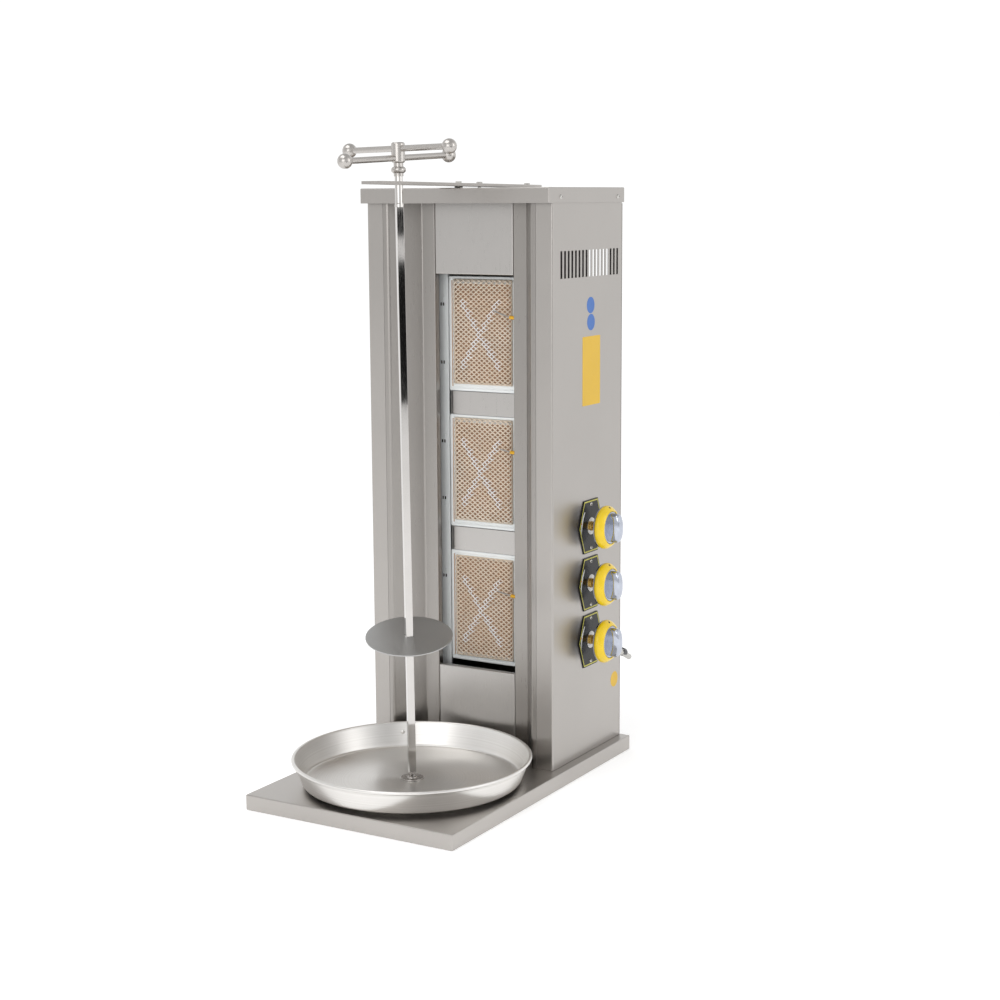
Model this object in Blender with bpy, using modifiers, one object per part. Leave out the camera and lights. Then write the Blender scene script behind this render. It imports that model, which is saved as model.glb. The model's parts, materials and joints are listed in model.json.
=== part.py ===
"""Vertical gas broiler with a hand-turned spit, built piece by piece.

Metres, +Z up, X to the operator's right, Y towards the back of the cabinet.
Every piece hangs on the empty "machine", whose own origin is the middle of the
base plate's footprint. The empty is placed so that the world origin is the
bottom centre of the box round the whole broiler.
"""
import math

import bmesh
import bpy
from mathutils import Matrix, Vector

# ---------------------------------------------------------------- sheet metal
SHEET = 0.0012            # cabinet sheet
BASE_SHEET = 0.0015
GAP = 0.0003              # between pieces that touch
LIP = 0.012               # folded edge of a front panel
FOLD = 0.0020             # outside radius of an ordinary fold
CORNER_FOLD = 0.0030      # of the cabinet's upright corners
WING_FOLD = 0.0080        # where the front flange turns into the recess
WING_INNER_FOLD = 0.0040
FOLD_STEPS = 3

BASE_WIDTH = 0.400
BASE_DEPTH = 0.6148
BASE_HEIGHT = 0.0265
BASE_HEM = 0.014          # edge turned in under the base

CABINET_HALF = 0.182      # outer half width
CABINET_FRONT = 0.048
CABINET_BACK = 0.302
CABINET_BOTTOM = BASE_HEIGHT + GAP
CAP_HALF = 0.1847
CAP_FRONT = 0.0312
CAP_BACK = 0.3040
CAP_TOP = 1.0102
CAP_SKIRT = 0.0255
CABINET_TOP = CAP_TOP - SHEET - GAP

FLANGE_SEAM = 0.1500      # where the side panel's flange meets the reflector
REAR_RETURN = 0.007
WING_OUTER = 0.1400       # slanted reflector, outer edge
WING_INNER = 0.104
RECESS_Y = 0.100          # plane of the panels at the back of the recess
MOUTH_HALF = 0.0778       # half width of the opening between the reflectors
PANEL_HALF = MOUTH_HALF - GAP

UPPER_PANEL_BOTTOM = 0.8640
LOWER_PANEL_TOP = 0.1715

VENT_SLOTS = 17
VENT_PITCH = 0.01275
VENT_SLOT_WIDTH = 0.0066
VENT_SLOT_HEIGHT = 0.045
VENT_CENTRE = (0.180, 0.8835)      # y, z
REAR_WINDOW = (0.1165, 0.1545)     # x of the rear panel's flue opening
REAR_WINDOW_Z = (0.835, 0.935)

# -------------------------------------------------------------------- burners
BURNER_CENTRES = {1: 0.7598, 2: 0.5186, 3: 0.2763}
FRAME_HALF_WIDTH = 0.0700
FRAME_HALF_HEIGHT = 0.1000
FRAME_RIM = 0.0135
FRAME_FRONT = 0.1310
FRAME_DEPTH = 0.014
FRAME_SHEET = 0.0007
FRAME_FOLD = 0.0012
EAR_FRONT = FRAME_FRONT + 0.0070
EAR_THICK = 0.0020
EAR_HALF_HEIGHT = 0.0060
EAR_NOTCH = 0.0010        # room round an ear where it leaves the frame
MESH_HALF_WIDTH = 0.0590
MESH_HALF_HEIGHT = 0.0913
MESH_RISE = {1: 0.0040, 2: 0.0034, 3: 0.0}            # guard above its frame's middle
MESH_FRONT = 0.1200
MESH_SHEET = 0.0008
MESH_CORNER = 0.007
CERAMIC_HALF_WIDTH = 0.0660
CERAMIC_HALF_HEIGHT = 0.0925
CERAMIC_THICK = 0.013
CERAMIC_FRONT = FRAME_FRONT + FRAME_SHEET + GAP
CERAMIC_LEDGE = 0.0035    # step inside the plenum that the plate sits on
PLENUM_HALF_WIDTH = 0.0689
PLENUM_HALF_HEIGHT = 0.0989
PLENUM_FRONT = 0.1325
PLENUM_BACK = 0.1750
PLENUM_WALL = 0.0014
MIXER_RADIUS = 0.0145
MIXER_WALL = 0.0016
MIXER_Y = 0.1890
MIXER_BELOW = 0.060       # mouth below the burner's centre
MIXER_ABOVE = 0.045
EAR_SPACING = 0.1015      # the ears and the rail's slots

SENSOR_RISE = {1: 0.0317, 2: 0.0412, 3: 0.0305}       # sleeve above a burner's centre
SENSOR_TIP = {1: (0.0295, 0.0110), 2: (0.0420, 0.0045), 3: (0.0355, 0.0060)}
SENSOR_STANDOFF = 0.0046  # rod's centre line in front of the guard
SENSOR_SLEEVE = (0.0625, 0.0735)
SENSOR_SLEEVE_SWELL = 2.5
LEAD_RADIUS = 0.0013
LEAD_LANE = 0.1180        # where the leads run down to the valves
LEAD_PITCH = 0.006
LEAD_Y = 0.150

RAIL_INNER = 0.0708
RAIL_OUTER = 0.0905
RAIL_DEPTH = 0.034
RAIL_SLOT = (0.0030, 0.0055)
RAIL_SLOT_PAIR = (0.0808, 0.0856)

STRIP_HALF = 0.0695
STRIP_Y = 0.1300
STRIP_FOLD = 0.006

# ------------------------------------------------------------ gas and controls
CONTROL_Y = 0.183
CONTROL_HEIGHTS = {1: 0.4315, 2: 0.3308, 3: 0.2297}
# Distances along a control's own axis, counted out from the side panel's face.
PLATE_THICK = 0.0015
PLATE_HALF_HEIGHT = 0.0465
PLATE_SHOULDER = 0.0255
PLATE_HALF_WIDTH = 0.0440
NECK_RADIUS = 0.0080
NECK_OUT = 0.0085
STEM_RADIUS = 0.0048
STEM_OUT = 0.0460
STEM_IN = 0.0180
STEM_FLAT = 0.0030        # half height left by the flat on the stem
STEM_FLAT_LENGTH = 0.0170
KNOB_HUB = (0.0085, 0.0165)        # radius and place of the knob's back end
KNOB_CONE = (0.0140, 0.0185)
KNOB_FLANGE = 0.0360
KNOB_FLANGE_Z = (0.0238, 0.0268)
KNOB_SKIRT = 0.0277
KNOB_FACE = 0.0422
KNOB_FRONT = 0.0609       # crown of the grip
GRIP_HALF_LENGTH = 0.0255
GRIP_HALF_WIDTH = (0.0060, 0.0095)     # at its ends, at its middle
GRIP_TAPER = 0.0016
GRIP_EDGE = 0.0024
GRIP_CROWN = 0.0050
GRIP_STATIONS = 8
RING_PROFILE = (
    (0.0293, 0.0425), (0.0322, 0.0405), (0.0352, 0.0370), (0.0371, 0.0335),
    (0.0376, 0.0305), (0.0368, 0.0276), (0.0360, 0.0272),
)
KNOB_TRAVEL = 0.004
BODY_DEPTH = 0.032
BODY_HALF = 0.0135

MANIFOLD_X = 0.1680
MANIFOLD_Y = 0.2150
MANIFOLD_RADIUS = 0.0085
MANIFOLD_BOTTOM = 0.192
MANIFOLD_TOP = 0.462
INLET_RADIUS = 0.0056
INLET_BORE = 0.0036
INLET_HEIGHT = 0.1800
INLET_BEND = Vector((MANIFOLD_X, CABINET_BACK + 0.0160, INLET_HEIGHT))
INLET_END = Vector((MANIFOLD_X, 0.3665, 0.1560))
BEND_RADIUS = 0.009

TUBE_RADIUS = 0.0038
RISER_X = 0.100
JET_GAP = 0.006
LEAD_GAP = 0.0020         # between a sensing lead's end and its valve

# ---------------------------------------------------------------- spit and pan
PAN_X = 0.0040
PAN_Y = -0.1180
PAN_LIFT = 0.0052         # height of the round seat pressed into the base
SEAT_RADIUS = 0.1500
PAN_FLOOR_RADIUS = 0.1775
PAN_RIM_RADIUS = 0.2014
PAN_RIM_Z = 0.0722
PAN_SHEET = 0.0016
PAN_CORNER = 0.0075
PAN_BEAD = 0.0032
SOCKET_RADIUS = 0.0195
SOCKET_THICK = 0.0020
SOCKET_BOSS = 0.0085
SOCKET_HOLE = 0.0030

SPIT_BAR = 0.012          # across the flats
SPIT_FOOT_Z = 0.0322 + PAN_LIFT
SPIT_TIP = 0.009
SPIT_ROUND_Z = 0.9835
SPIT_JOURNAL = 0.0066
SPIT_TENON = 0.0040
SPIT_TENON_Z = 1.0275
SPIT_TOP_Z = 1.0450
BAR_TURN = math.radians(45)

HUB_BOTTOM_Z = 1.0280
BEAD_Z = 1.0380
BEAD_RADIUS = 0.0120
NECK_R = 0.0078
HUB_RADIUS = 0.0110
HUB_Z = (1.0495, 1.0815)
HANDLE_Z = {"handle_rod_lower": 1.0567, "handle_rod_upper": 1.0715}
HANDLE_ROD = 0.0050
HANDLE_HALF = 0.117       # spit axis to ball centre
HANDLE_BALL = 0.0120
# Heading of each rod and how far it hangs out of level in its loose hole.
HANDLE_TURN = {"handle_rod_lower": math.radians(-11.5), "handle_rod_upper": math.radians(75.9)}
HANDLE_DROOP = {"handle_rod_lower": math.radians(2.9), "handle_rod_upper": 0.0}

DISC_RADIUS = 0.0724
DISC_THICK = 0.0020
DISC_Z = 0.2775
DISC_HOLE = 0.0132
DISC_TILT = math.radians(13.5)
DISC_TILT_HEADING = math.radians(30)

ARM_X = -0.0065
ARM_HALF = 0.0200
ARM_FRONT = -0.1940
ARM_BACK = 0.3154
ARM_THICK = 0.0050
ARM_TILT = math.radians(0.53)
ARM_LIFT = 0.0004
ARM_BOLTS = {"front": 0.0640, "middle": 0.1320, "rear": 0.2975}
BOLT_RADIUS = 0.0030
BOLT_HEAD = (0.0052, 0.0028)       # radius across corners, height
SPACER_RADIUS = 0.0070
ARM_HOLE = 0.0072

# Extremes of the whole broiler, from which the world origin follows.
LEFT_MOST = -BASE_WIDTH / 2
RIGHT_MOST = CABINET_HALF + KNOB_FRONT
FRONT_MOST = PAN_Y - PAN_RIM_RADIUS
INLET_SLOPE = (INLET_BEND - INLET_END).normalized()
BACK_MOST = INLET_END.y + INLET_RADIUS * INLET_SLOPE.z

COLOURS = {
    "steel": ((0.42, 0.41, 0.39), 0.32, 1.0),
    "burner_steel": ((0.74, 0.76, 0.76), 0.45, 0.6),
    "mesh_wire": ((0.62, 0.50, 0.38), 0.60, 0.4),
    "ceramic": ((0.80, 0.68, 0.55), 0.85, 0.0),
    "aluminium": ((0.78, 0.77, 0.75), 0.25, 1.0),
    "bright_steel": ((0.66, 0.64, 0.61), 0.22, 1.0),
    "brass": ((0.72, 0.50, 0.20), 0.30, 1.0),
    "copper": ((0.72, 0.38, 0.24), 0.35, 1.0),
    "black_enamel": ((0.02, 0.02, 0.02), 0.15, 0.0),
    "yellow_ring": ((0.95, 0.74, 0.03), 0.35, 0.0),
    "chrome": ((0.70, 0.72, 0.76), 0.08, 1.0),
}


# --------------------------------------------------------------------- helpers
def clear_scene():
    for item in list(bpy.data.objects):
        bpy.data.objects.remove(item, do_unlink=True)


def new_collection(name):
    collection = bpy.data.collections.new(name)
    bpy.context.scene.collection.children.link(collection)
    return collection


def new_material(name, colour, roughness, metallic):
    material = bpy.data.materials.new(name)
    material.use_nodes = True
    shader = material.node_tree.nodes["Principled BSDF"]
    shader.inputs["Base Color"].default_value = (*colour, 1.0)
    shader.inputs["Roughness"].default_value = roughness
    shader.inputs["Metallic"].default_value = metallic
    return material


def new_empty(name, parent=None, location=(0, 0, 0), rotation=(0, 0, 0)):
    empty = bpy.data.objects.new(name, None)
    PARTS.objects.link(empty)
    empty.parent = parent
    empty.location = location
    empty.rotation_euler = rotation
    return empty


def new_part(name, data, material, parent, location=(0, 0, 0), rotation=(0, 0, 0)):
    """Put a mesh or curve in the broiler as one named piece."""
    part = bpy.data.objects.new(name, data)
    PARTS.objects.link(part)
    data.materials.append(MATERIALS[material])
    part.parent = parent
    part.location = location
    part.rotation_euler = rotation
    return part


def new_cutter(name, data, parent, location=(0, 0, 0), rotation=(0, 0, 0)):
    cutter = bpy.data.objects.new(name, data)
    CUTTERS.objects.link(cutter)
    cutter.parent = parent
    cutter.location = location
    cutter.rotation_euler = rotation
    cutter.hide_render = True
    cutter.display_type = "WIRE"
    return cutter


def mesh_from(bm, name):
    mesh = bpy.data.meshes.new(name)
    bm.to_mesh(mesh)
    bm.free()
    return mesh


def add_box(bm, low, high):
    low = Vector(low)
    high = Vector(high)
    matrix = Matrix.Translation((low + high) / 2) @ Matrix.Diagonal((*(high - low), 1.0))
    return bmesh.ops.create_cube(bm, size=1.0, matrix=matrix)["verts"]


def box_mesh(name, *corner_pairs):
    """One mesh of one or more separate boxes, each given by two corners."""
    bm = bmesh.new()
    for low, high in corner_pairs:
        add_box(bm, low, high)
    return mesh_from(bm, name)


def rod_mesh(name, radius, bottom, top, segments=32, top_radius=None):
    """Cylinder or cone along the local Z axis, from bottom to top."""
    bm = bmesh.new()
    end_radius = radius if top_radius is None else top_radius
    bmesh.ops.create_cone(
        bm, cap_ends=True, segments=segments, radius1=radius, radius2=end_radius,
        depth=top - bottom, matrix=Matrix.Translation((0, 0, (top + bottom) / 2)))
    return mesh_from(bm, name)


def profile_mesh(name, profile, closed=False):
    """Edges in the XZ plane for a Screw modifier; (radius, height) points."""
    bm = bmesh.new()
    verts = [bm.verts.new((radius, 0, height)) for radius, height in profile]
    for first, second in zip(verts, verts[1:]):
        bm.edges.new((first, second))
    if closed:
        bm.edges.new((verts[-1], verts[0]))
    return mesh_from(bm, name)


def add_screw(part, steps):
    screw = part.modifiers.new("turned", "SCREW")
    screw.axis = "Z"
    screw.steps = steps
    screw.render_steps = steps
    screw.use_merge_vertices = True
    screw.merge_threshold = 0.00001
    screw.use_smooth_shade = True


def turned(name, profile, material, parent, steps=32, closed=False, **place):
    part = new_part(name, profile_mesh(name, profile, closed), material, parent, **place)
    add_screw(part, steps)
    return part


def arc(centre, radius, start, end, count):
    """Points on an arc; angles in degrees, count steps."""
    points = []
    for step in range(count + 1):
        angle = math.radians(start + (end - start) * step / count)
        points.append((centre[0] + radius * math.cos(angle), centre[1] + radius * math.sin(angle)))
    return points


def cut(part, cutter, operation="DIFFERENCE"):
    boolean = part.modifiers.new(cutter.name, "BOOLEAN")
    boolean.operation = operation
    boolean.object = cutter
    boolean.solver = "EXACT"


def solidify(part, thickness, offset):
    shell = part.modifiers.new("sheet", "SOLIDIFY")
    shell.thickness = thickness
    shell.offset = offset
    shell.use_even_offset = True


def open_tray(name, low, high, open_side, thickness, material, parent, hem=0.0, fold=FOLD):
    """A folded sheet box without one side; hem turns its free edges inwards."""
    bm = bmesh.new()
    add_box(bm, low, high)
    direction = Vector(open_side)
    mouth = [face for face in bm.faces if face.normal.dot(direction) > 0.9]
    if hem:
        bmesh.ops.inset_region(bm, faces=mouth, thickness=hem)
    rim = {edge for face in mouth for edge in face.edges}
    folds = [edge for edge in bm.edges if edge not in rim and edge.calc_face_angle() > 1]
    bmesh.ops.delete(bm, geom=mouth, context="FACES_ONLY")
    bmesh.ops.bevel(bm, geom=folds, offset=fold, segments=FOLD_STEPS, profile=0.5,
                    affect="EDGES")
    tray = new_part(name, mesh_from(bm, name), material, parent)
    solidify(tray, thickness, -1.0)
    return tray


def rounded_outline(outline, radii):
    """The outline with its inner corners turned into arcs of the given radii."""
    points = [Vector(outline[0])]
    for before, corner, after, radius in zip(outline, outline[1:], outline[2:], radii):
        corner = Vector(corner)
        incoming = (corner - Vector(before)).normalized()
        outgoing = (Vector(after) - corner).normalized()
        turn = incoming.angle_signed(outgoing)
        reach = radius * math.tan(abs(turn) / 2)
        start = corner - incoming * reach
        bow = incoming.orthogonal() * math.copysign(radius, -turn)
        steps = max(FOLD_STEPS, math.ceil(abs(turn) * 5))
        for step in range(steps + 1):
            points.append(start + bow - Matrix.Rotation(-turn * step / steps, 2) @ bow)
    points.append(Vector(outline[-1]))
    return points


def folded_sheet(name, outline, radii, low_z, high_z, thickness, side, material, parent):
    """A sheet folded along upright lines; outline is its outer face in plan.

    side is 1 where the metal lies to the left of the outline's direction.
    """
    outline = rounded_outline(outline, radii)
    bm = bmesh.new()
    lower = [bm.verts.new((x, y, low_z)) for x, y in outline]
    upper = [bm.verts.new((x, y, high_z)) for x, y in outline]
    for index in range(len(outline) - 1):
        bm.faces.new((lower[index], lower[index + 1], upper[index + 1], upper[index]))
    sheet = new_part(name, mesh_from(bm, name), material, parent)
    solidify(sheet, thickness, -side)
    return sheet


def path_curve(name, points, radius, swell=None):
    """A straight-segment tube; swell gives each point's own radius factor."""
    curve = bpy.data.curves.new(name, "CURVE")
    curve.dimensions = "3D"
    curve.bevel_depth = radius
    curve.bevel_resolution = 2
    curve.use_fill_caps = True
    spline = curve.splines.new("POLY")
    spline.points.add(len(points) - 1)
    for index, point in enumerate(points):
        spline.points[index].co = (*point, 1.0)
        spline.points[index].radius = swell[index] if swell else 1.0
    return curve


def rounded_path(corners, bend, steps=4):
    """Points along straight runs joined by rounded bends."""
    corners = [Vector(corner) for corner in corners]
    points = [corners[0]]
    for before, corner, after in zip(corners, corners[1:], corners[2:]):
        start = corner + (before - corner).normalized() * bend
        end = corner + (after - corner).normalized() * bend
        for step in range(steps + 1):
            t = step / steps
            points.append(start * (1 - t) ** 2 + corner * 2 * t * (1 - t) + end * t ** 2)
    points.append(corners[-1])
    return points


def curve_to_mesh(name, curve):
    """The closed mesh of a tube curve, ready for cutting."""
    holder = bpy.data.objects.new(name, curve)
    bpy.context.scene.collection.objects.link(holder)
    evaluated = holder.evaluated_get(bpy.context.evaluated_depsgraph_get())
    mesh = bpy.data.meshes.new_from_object(evaluated)
    bpy.data.objects.remove(holder, do_unlink=True)
    bm = bmesh.new()
    bm.from_mesh(mesh)
    bmesh.ops.remove_doubles(bm, verts=bm.verts, dist=0.00001)
    bm.to_mesh(mesh)
    bm.free()
    mesh.name = name
    return mesh


# ----------------------------------------------------------------- sheet metal
def build_base():
    half_x = BASE_WIDTH / 2
    half_y = BASE_DEPTH / 2
    open_tray("base_tray", (-half_x, -half_y, 0), (half_x, half_y, BASE_HEIGHT),
              (0, 0, -1), BASE_SHEET, "steel", MACHINE, hem=BASE_HEM)
    base = bpy.data.objects["base_tray"]
    boss = rod_mesh("seat", SEAT_RADIUS, BASE_HEIGHT - BASE_SHEET / 2, BASE_HEIGHT + PAN_LIFT, 40)
    cut(base, new_cutter("pan_seat", boss, MACHINE, (PAN_X, PAN_Y, 0)), "UNION")
    hollow = rod_mesh("hollow", SEAT_RADIUS - BASE_SHEET, BASE_HEIGHT - 3 * BASE_SHEET,
                      BASE_HEIGHT + PAN_LIFT - BASE_SHEET, 40)
    cut(base, new_cutter("pan_seat_hollow", hollow, MACHINE, (PAN_X, PAN_Y, 0)))


def build_side_panels():
    for side, name in ((1, "side_panel_right"), (-1, "side_panel_left")):
        outline = [
            (side * FLANGE_SEAM, CABINET_FRONT),
            (side * CABINET_HALF, CABINET_FRONT),
            (side * CABINET_HALF, CABINET_BACK - SHEET - GAP),
            (side * (CABINET_HALF - REAR_RETURN), CABINET_BACK - SHEET - GAP),
        ]
        folded_sheet(name, outline, (CORNER_FOLD, FOLD), CABINET_BOTTOM, CABINET_TOP, SHEET,
                     side, "steel", MACHINE)
    panel = bpy.data.objects["side_panel_right"]
    inner = CABINET_HALF - 3 * SHEET
    outer = CABINET_HALF + 3 * SHEET
    centre_y, centre_z = VENT_CENTRE
    slots = []
    for index in range(VENT_SLOTS):
        middle = centre_y + (index - (VENT_SLOTS - 1) / 2) * VENT_PITCH
        slots.append(((inner, middle - VENT_SLOT_WIDTH / 2, centre_z - VENT_SLOT_HEIGHT / 2),
                      (outer, middle + VENT_SLOT_WIDTH / 2, centre_z + VENT_SLOT_HEIGHT / 2)))
    cut(panel, new_cutter("vent_cutter", box_mesh("vent_cutter", *slots), MACHINE))
    for number, height in CONTROL_HEIGHTS.items():
        hole = rod_mesh("control_hole", NECK_RADIUS + GAP, -0.01, 0.01)
        cut(panel, new_cutter(f"control_hole_{number}", hole, MACHINE,
                              (CABINET_HALF, CONTROL_Y, height), (0, math.pi / 2, 0)))


def build_rear_panel():
    low = (-(CABINET_HALF - GAP), CABINET_BACK - SHEET, CABINET_BOTTOM)
    high = (CABINET_HALF - GAP, CABINET_BACK, CAP_TOP - CAP_SKIRT - 0.002)
    panel = new_part("rear_panel", box_mesh("rear_panel", (low, high)), "steel", MACHINE)
    hole = rod_mesh("inlet_hole", INLET_RADIUS + 0.001, -0.01, 0.01)
    cut(panel, new_cutter("inlet_hole", hole, MACHINE,
                          (MANIFOLD_X, CABINET_BACK, INLET_HEIGHT), (math.pi / 2, 0, 0)))
    near, far = REAR_WINDOW
    bottom, top = REAR_WINDOW_Z
    window = ((near, CABINET_BACK - 0.01, bottom), (far, CABINET_BACK + 0.01, top))
    cut(panel, new_cutter("rear_window", box_mesh("rear_window", window), MACHINE))


def build_cap():
    cap = open_tray("top_cap", (-CAP_HALF, CAP_FRONT, CAP_TOP - CAP_SKIRT),
                    (CAP_HALF, CAP_BACK, CAP_TOP), (0, 0, -1), SHEET, "steel", MACHINE)
    for place, y in ARM_BOLTS.items():
        hole = rod_mesh("cap_hole", BOLT_RADIUS + GAP, CAP_TOP - 0.01, CAP_TOP + 0.01, 24)
        cut(cap, new_cutter(f"cap_hole_{place}", hole, MACHINE, (ARM_X, y, 0)))


def build_reflectors():
    for side, name in ((1, "reflector_right"), (-1, "reflector_left")):
        outline = [
            (side * (FLANGE_SEAM - GAP), CABINET_FRONT),
            (side * WING_OUTER, CABINET_FRONT),
            (side * WING_INNER, RECESS_Y),
            (side * MOUTH_HALF, RECESS_Y),
            (side * MOUTH_HALF, RECESS_Y + LIP),
        ]
        folded_sheet(name, outline, (WING_FOLD, WING_INNER_FOLD, FOLD), CABINET_BOTTOM,
                     CABINET_TOP, SHEET, -side, "steel", MACHINE)


def build_front_panels():
    spans = {
        "upper_front_panel": (UPPER_PANEL_BOTTOM, CABINET_TOP),
        "lower_front_panel": (CABINET_BOTTOM, LOWER_PANEL_TOP),
    }
    for name, (low_z, high_z) in spans.items():
        open_tray(name, (-PANEL_HALF, RECESS_Y, low_z), (PANEL_HALF, RECESS_Y + LIP, high_z),
                  (0, 1, 0), SHEET, "steel", MACHINE)


def build_cover_strips():
    for name, upper, lower in (("cover_strip_upper", 1, 2), ("cover_strip_lower", 2, 3)):
        high_z = BURNER_CENTRES[upper] - FRAME_HALF_HEIGHT - GAP
        low_z = BURNER_CENTRES[lower] + FRAME_HALF_HEIGHT + GAP
        open_tray(name, (-STRIP_HALF, STRIP_Y, low_z), (STRIP_HALF, STRIP_Y + STRIP_FOLD, high_z),
                  (0, 1, 0), SHEET, "steel", MACHINE)


def build_rails():
    for side, name in ((1, "burner_rail_right"), (-1, "burner_rail_left")):
        outline = [
            (side * RAIL_INNER, FRAME_FRONT),
            (side * RAIL_OUTER, FRAME_FRONT),
            (side * RAIL_OUTER, FRAME_FRONT + RAIL_DEPTH),
        ]
        rail = folded_sheet(name, outline, (FOLD,), CABINET_BOTTOM, CABINET_TOP, SHEET, side,
                            "burner_steel", MACHINE)
        width, height = RAIL_SLOT
        slots = []
        for centre in BURNER_CENTRES.values():
            for step in (-0.5, 0.5):
                z = centre + step * EAR_SPACING
                for x in RAIL_SLOT_PAIR:
                    slots.append(((side * x - width / 2, FRAME_FRONT - 0.004, z - height / 2),
                                  (side * x + width / 2, FRAME_FRONT + 0.004, z + height / 2)))
        cut(rail, new_cutter(f"{name}_slots", box_mesh("rail_slots", *slots), MACHINE))


# --------------------------------------------------------------------- burners
def ear_boxes(centre, near, far, front, back, half_height):
    """Four boxes, two on each side of a burner, from near to far off its middle."""
    boxes = []
    for side in (-1, 1):
        for step in (-0.5, 0.5):
            z = centre + step * EAR_SPACING
            left, right = sorted((side * near, side * far))
            boxes.append(((left, front, z - half_height), (right, back, z + half_height)))
    return boxes


def build_burner_frame(number, centre):
    """Pressed frame: a rim in front and a skirt round the plenum."""
    name = f"burner_frame_{number}"
    frame = open_tray(name, (-FRAME_HALF_WIDTH, FRAME_FRONT, centre - FRAME_HALF_HEIGHT),
                      (FRAME_HALF_WIDTH, FRAME_FRONT + FRAME_DEPTH, centre + FRAME_HALF_HEIGHT),
                      (0, 1, 0), FRAME_SHEET, "burner_steel", MACHINE, fold=FRAME_FOLD)
    half_x = FRAME_HALF_WIDTH - FRAME_RIM
    half_z = FRAME_HALF_HEIGHT - FRAME_RIM
    window = box_mesh("window", ((-half_x, FRAME_FRONT - 0.002, centre - half_z),
                                 (half_x, FRAME_FRONT + 0.002, centre + half_z)))
    cut(frame, new_cutter(f"{name}_window", window, MACHINE))
    notches = ear_boxes(centre, FRAME_HALF_WIDTH - 0.002, FRAME_HALF_WIDTH + 0.002,
                        EAR_FRONT - EAR_NOTCH, FRAME_FRONT + FRAME_DEPTH + 0.002,
                        EAR_HALF_HEIGHT + EAR_NOTCH)
    cut(frame, new_cutter(f"{name}_notches", box_mesh("notches", *notches), MACHINE))


def build_burner_mesh(number, centre):
    """Guard over the ceramic: a shallow box standing on the frame's rim."""
    name = f"burner_mesh_{number}"
    centre += MESH_RISE[number]
    bm = bmesh.new()
    add_box(bm, (-MESH_HALF_WIDTH, MESH_FRONT, centre - MESH_HALF_HEIGHT),
            (MESH_HALF_WIDTH, FRAME_FRONT - GAP, centre + MESH_HALF_HEIGHT))
    uprights = [edge for edge in bm.edges
                if abs(edge.verts[0].co.y - edge.verts[1].co.y) > 0.001]
    bmesh.ops.bevel(bm, geom=uprights, offset=MESH_CORNER, segments=3, profile=0.5,
                    affect="EDGES")
    back = [face for face in bm.faces if face.normal.y > 0.9]
    bmesh.ops.delete(bm, geom=back, context="FACES")
    guard = new_part(name, mesh_from(bm, name), "mesh_wire", MACHINE)
    solidify(guard, MESH_SHEET, -1.0)


def build_ceramic(number, centre):
    back = CERAMIC_FRONT + CERAMIC_THICK
    plate = box_mesh("ceramic", ((-CERAMIC_HALF_WIDTH, CERAMIC_FRONT, centre - CERAMIC_HALF_HEIGHT),
                                 (CERAMIC_HALF_WIDTH, back, centre + CERAMIC_HALF_HEIGHT)))
    new_part(f"burner_ceramic_{number}", plate, "ceramic", MACHINE)


def build_burner_body(number, centre):
    """Plenum box open to the ceramic, with its ears and its mixing tube."""
    name = f"burner_body_{number}"
    half_x = PLENUM_HALF_WIDTH
    half_z = PLENUM_HALF_HEIGHT
    wall = PLENUM_WALL
    shell = box_mesh(name, ((-half_x, PLENUM_FRONT, centre - half_z),
                            (half_x, PLENUM_BACK, centre + half_z)))
    body = new_part(name, shell, "burner_steel", MACHINE)
    ears = ear_boxes(centre, half_x - 0.001, RAIL_OUTER - SHEET - 0.001,
                     EAR_FRONT, EAR_FRONT + EAR_THICK, EAR_HALF_HEIGHT)
    cut(body, new_cutter(f"{name}_ears", box_mesh("ears", *ears), MACHINE), "UNION")
    low_z = centre - MIXER_BELOW
    high_z = centre + MIXER_ABOVE
    place = (0, MIXER_Y, 0)
    tube = rod_mesh("mixer", MIXER_RADIUS, low_z, high_z, 24)
    cut(body, new_cutter(f"{name}_mixer", tube, MACHINE, place), "UNION")
    depths = {
        "pocket": (wall, CERAMIC_FRONT + CERAMIC_THICK + GAP),
        "chamber": (wall + CERAMIC_LEDGE, PLENUM_BACK - wall),
    }
    for step, (inset, back) in depths.items():
        hollow = box_mesh(step, ((-half_x + inset, PLENUM_FRONT - 0.01, centre - half_z + inset),
                                 (half_x - inset, back, centre + half_z - inset)))
        cut(body, new_cutter(f"{name}_{step}", hollow, MACHINE))
    bore = rod_mesh("bore", MIXER_RADIUS - MIXER_WALL, low_z - 0.01, high_z - MIXER_WALL, 24)
    cut(body, new_cutter(f"{name}_bore", bore, MACHINE, place))
    port = box_mesh("port", ((-0.008, PLENUM_BACK - 0.010, high_z - 0.040),
                             (0.008, MIXER_Y, high_z - 0.006)))
    cut(body, new_cutter(f"{name}_port", port, MACHINE))


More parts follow.
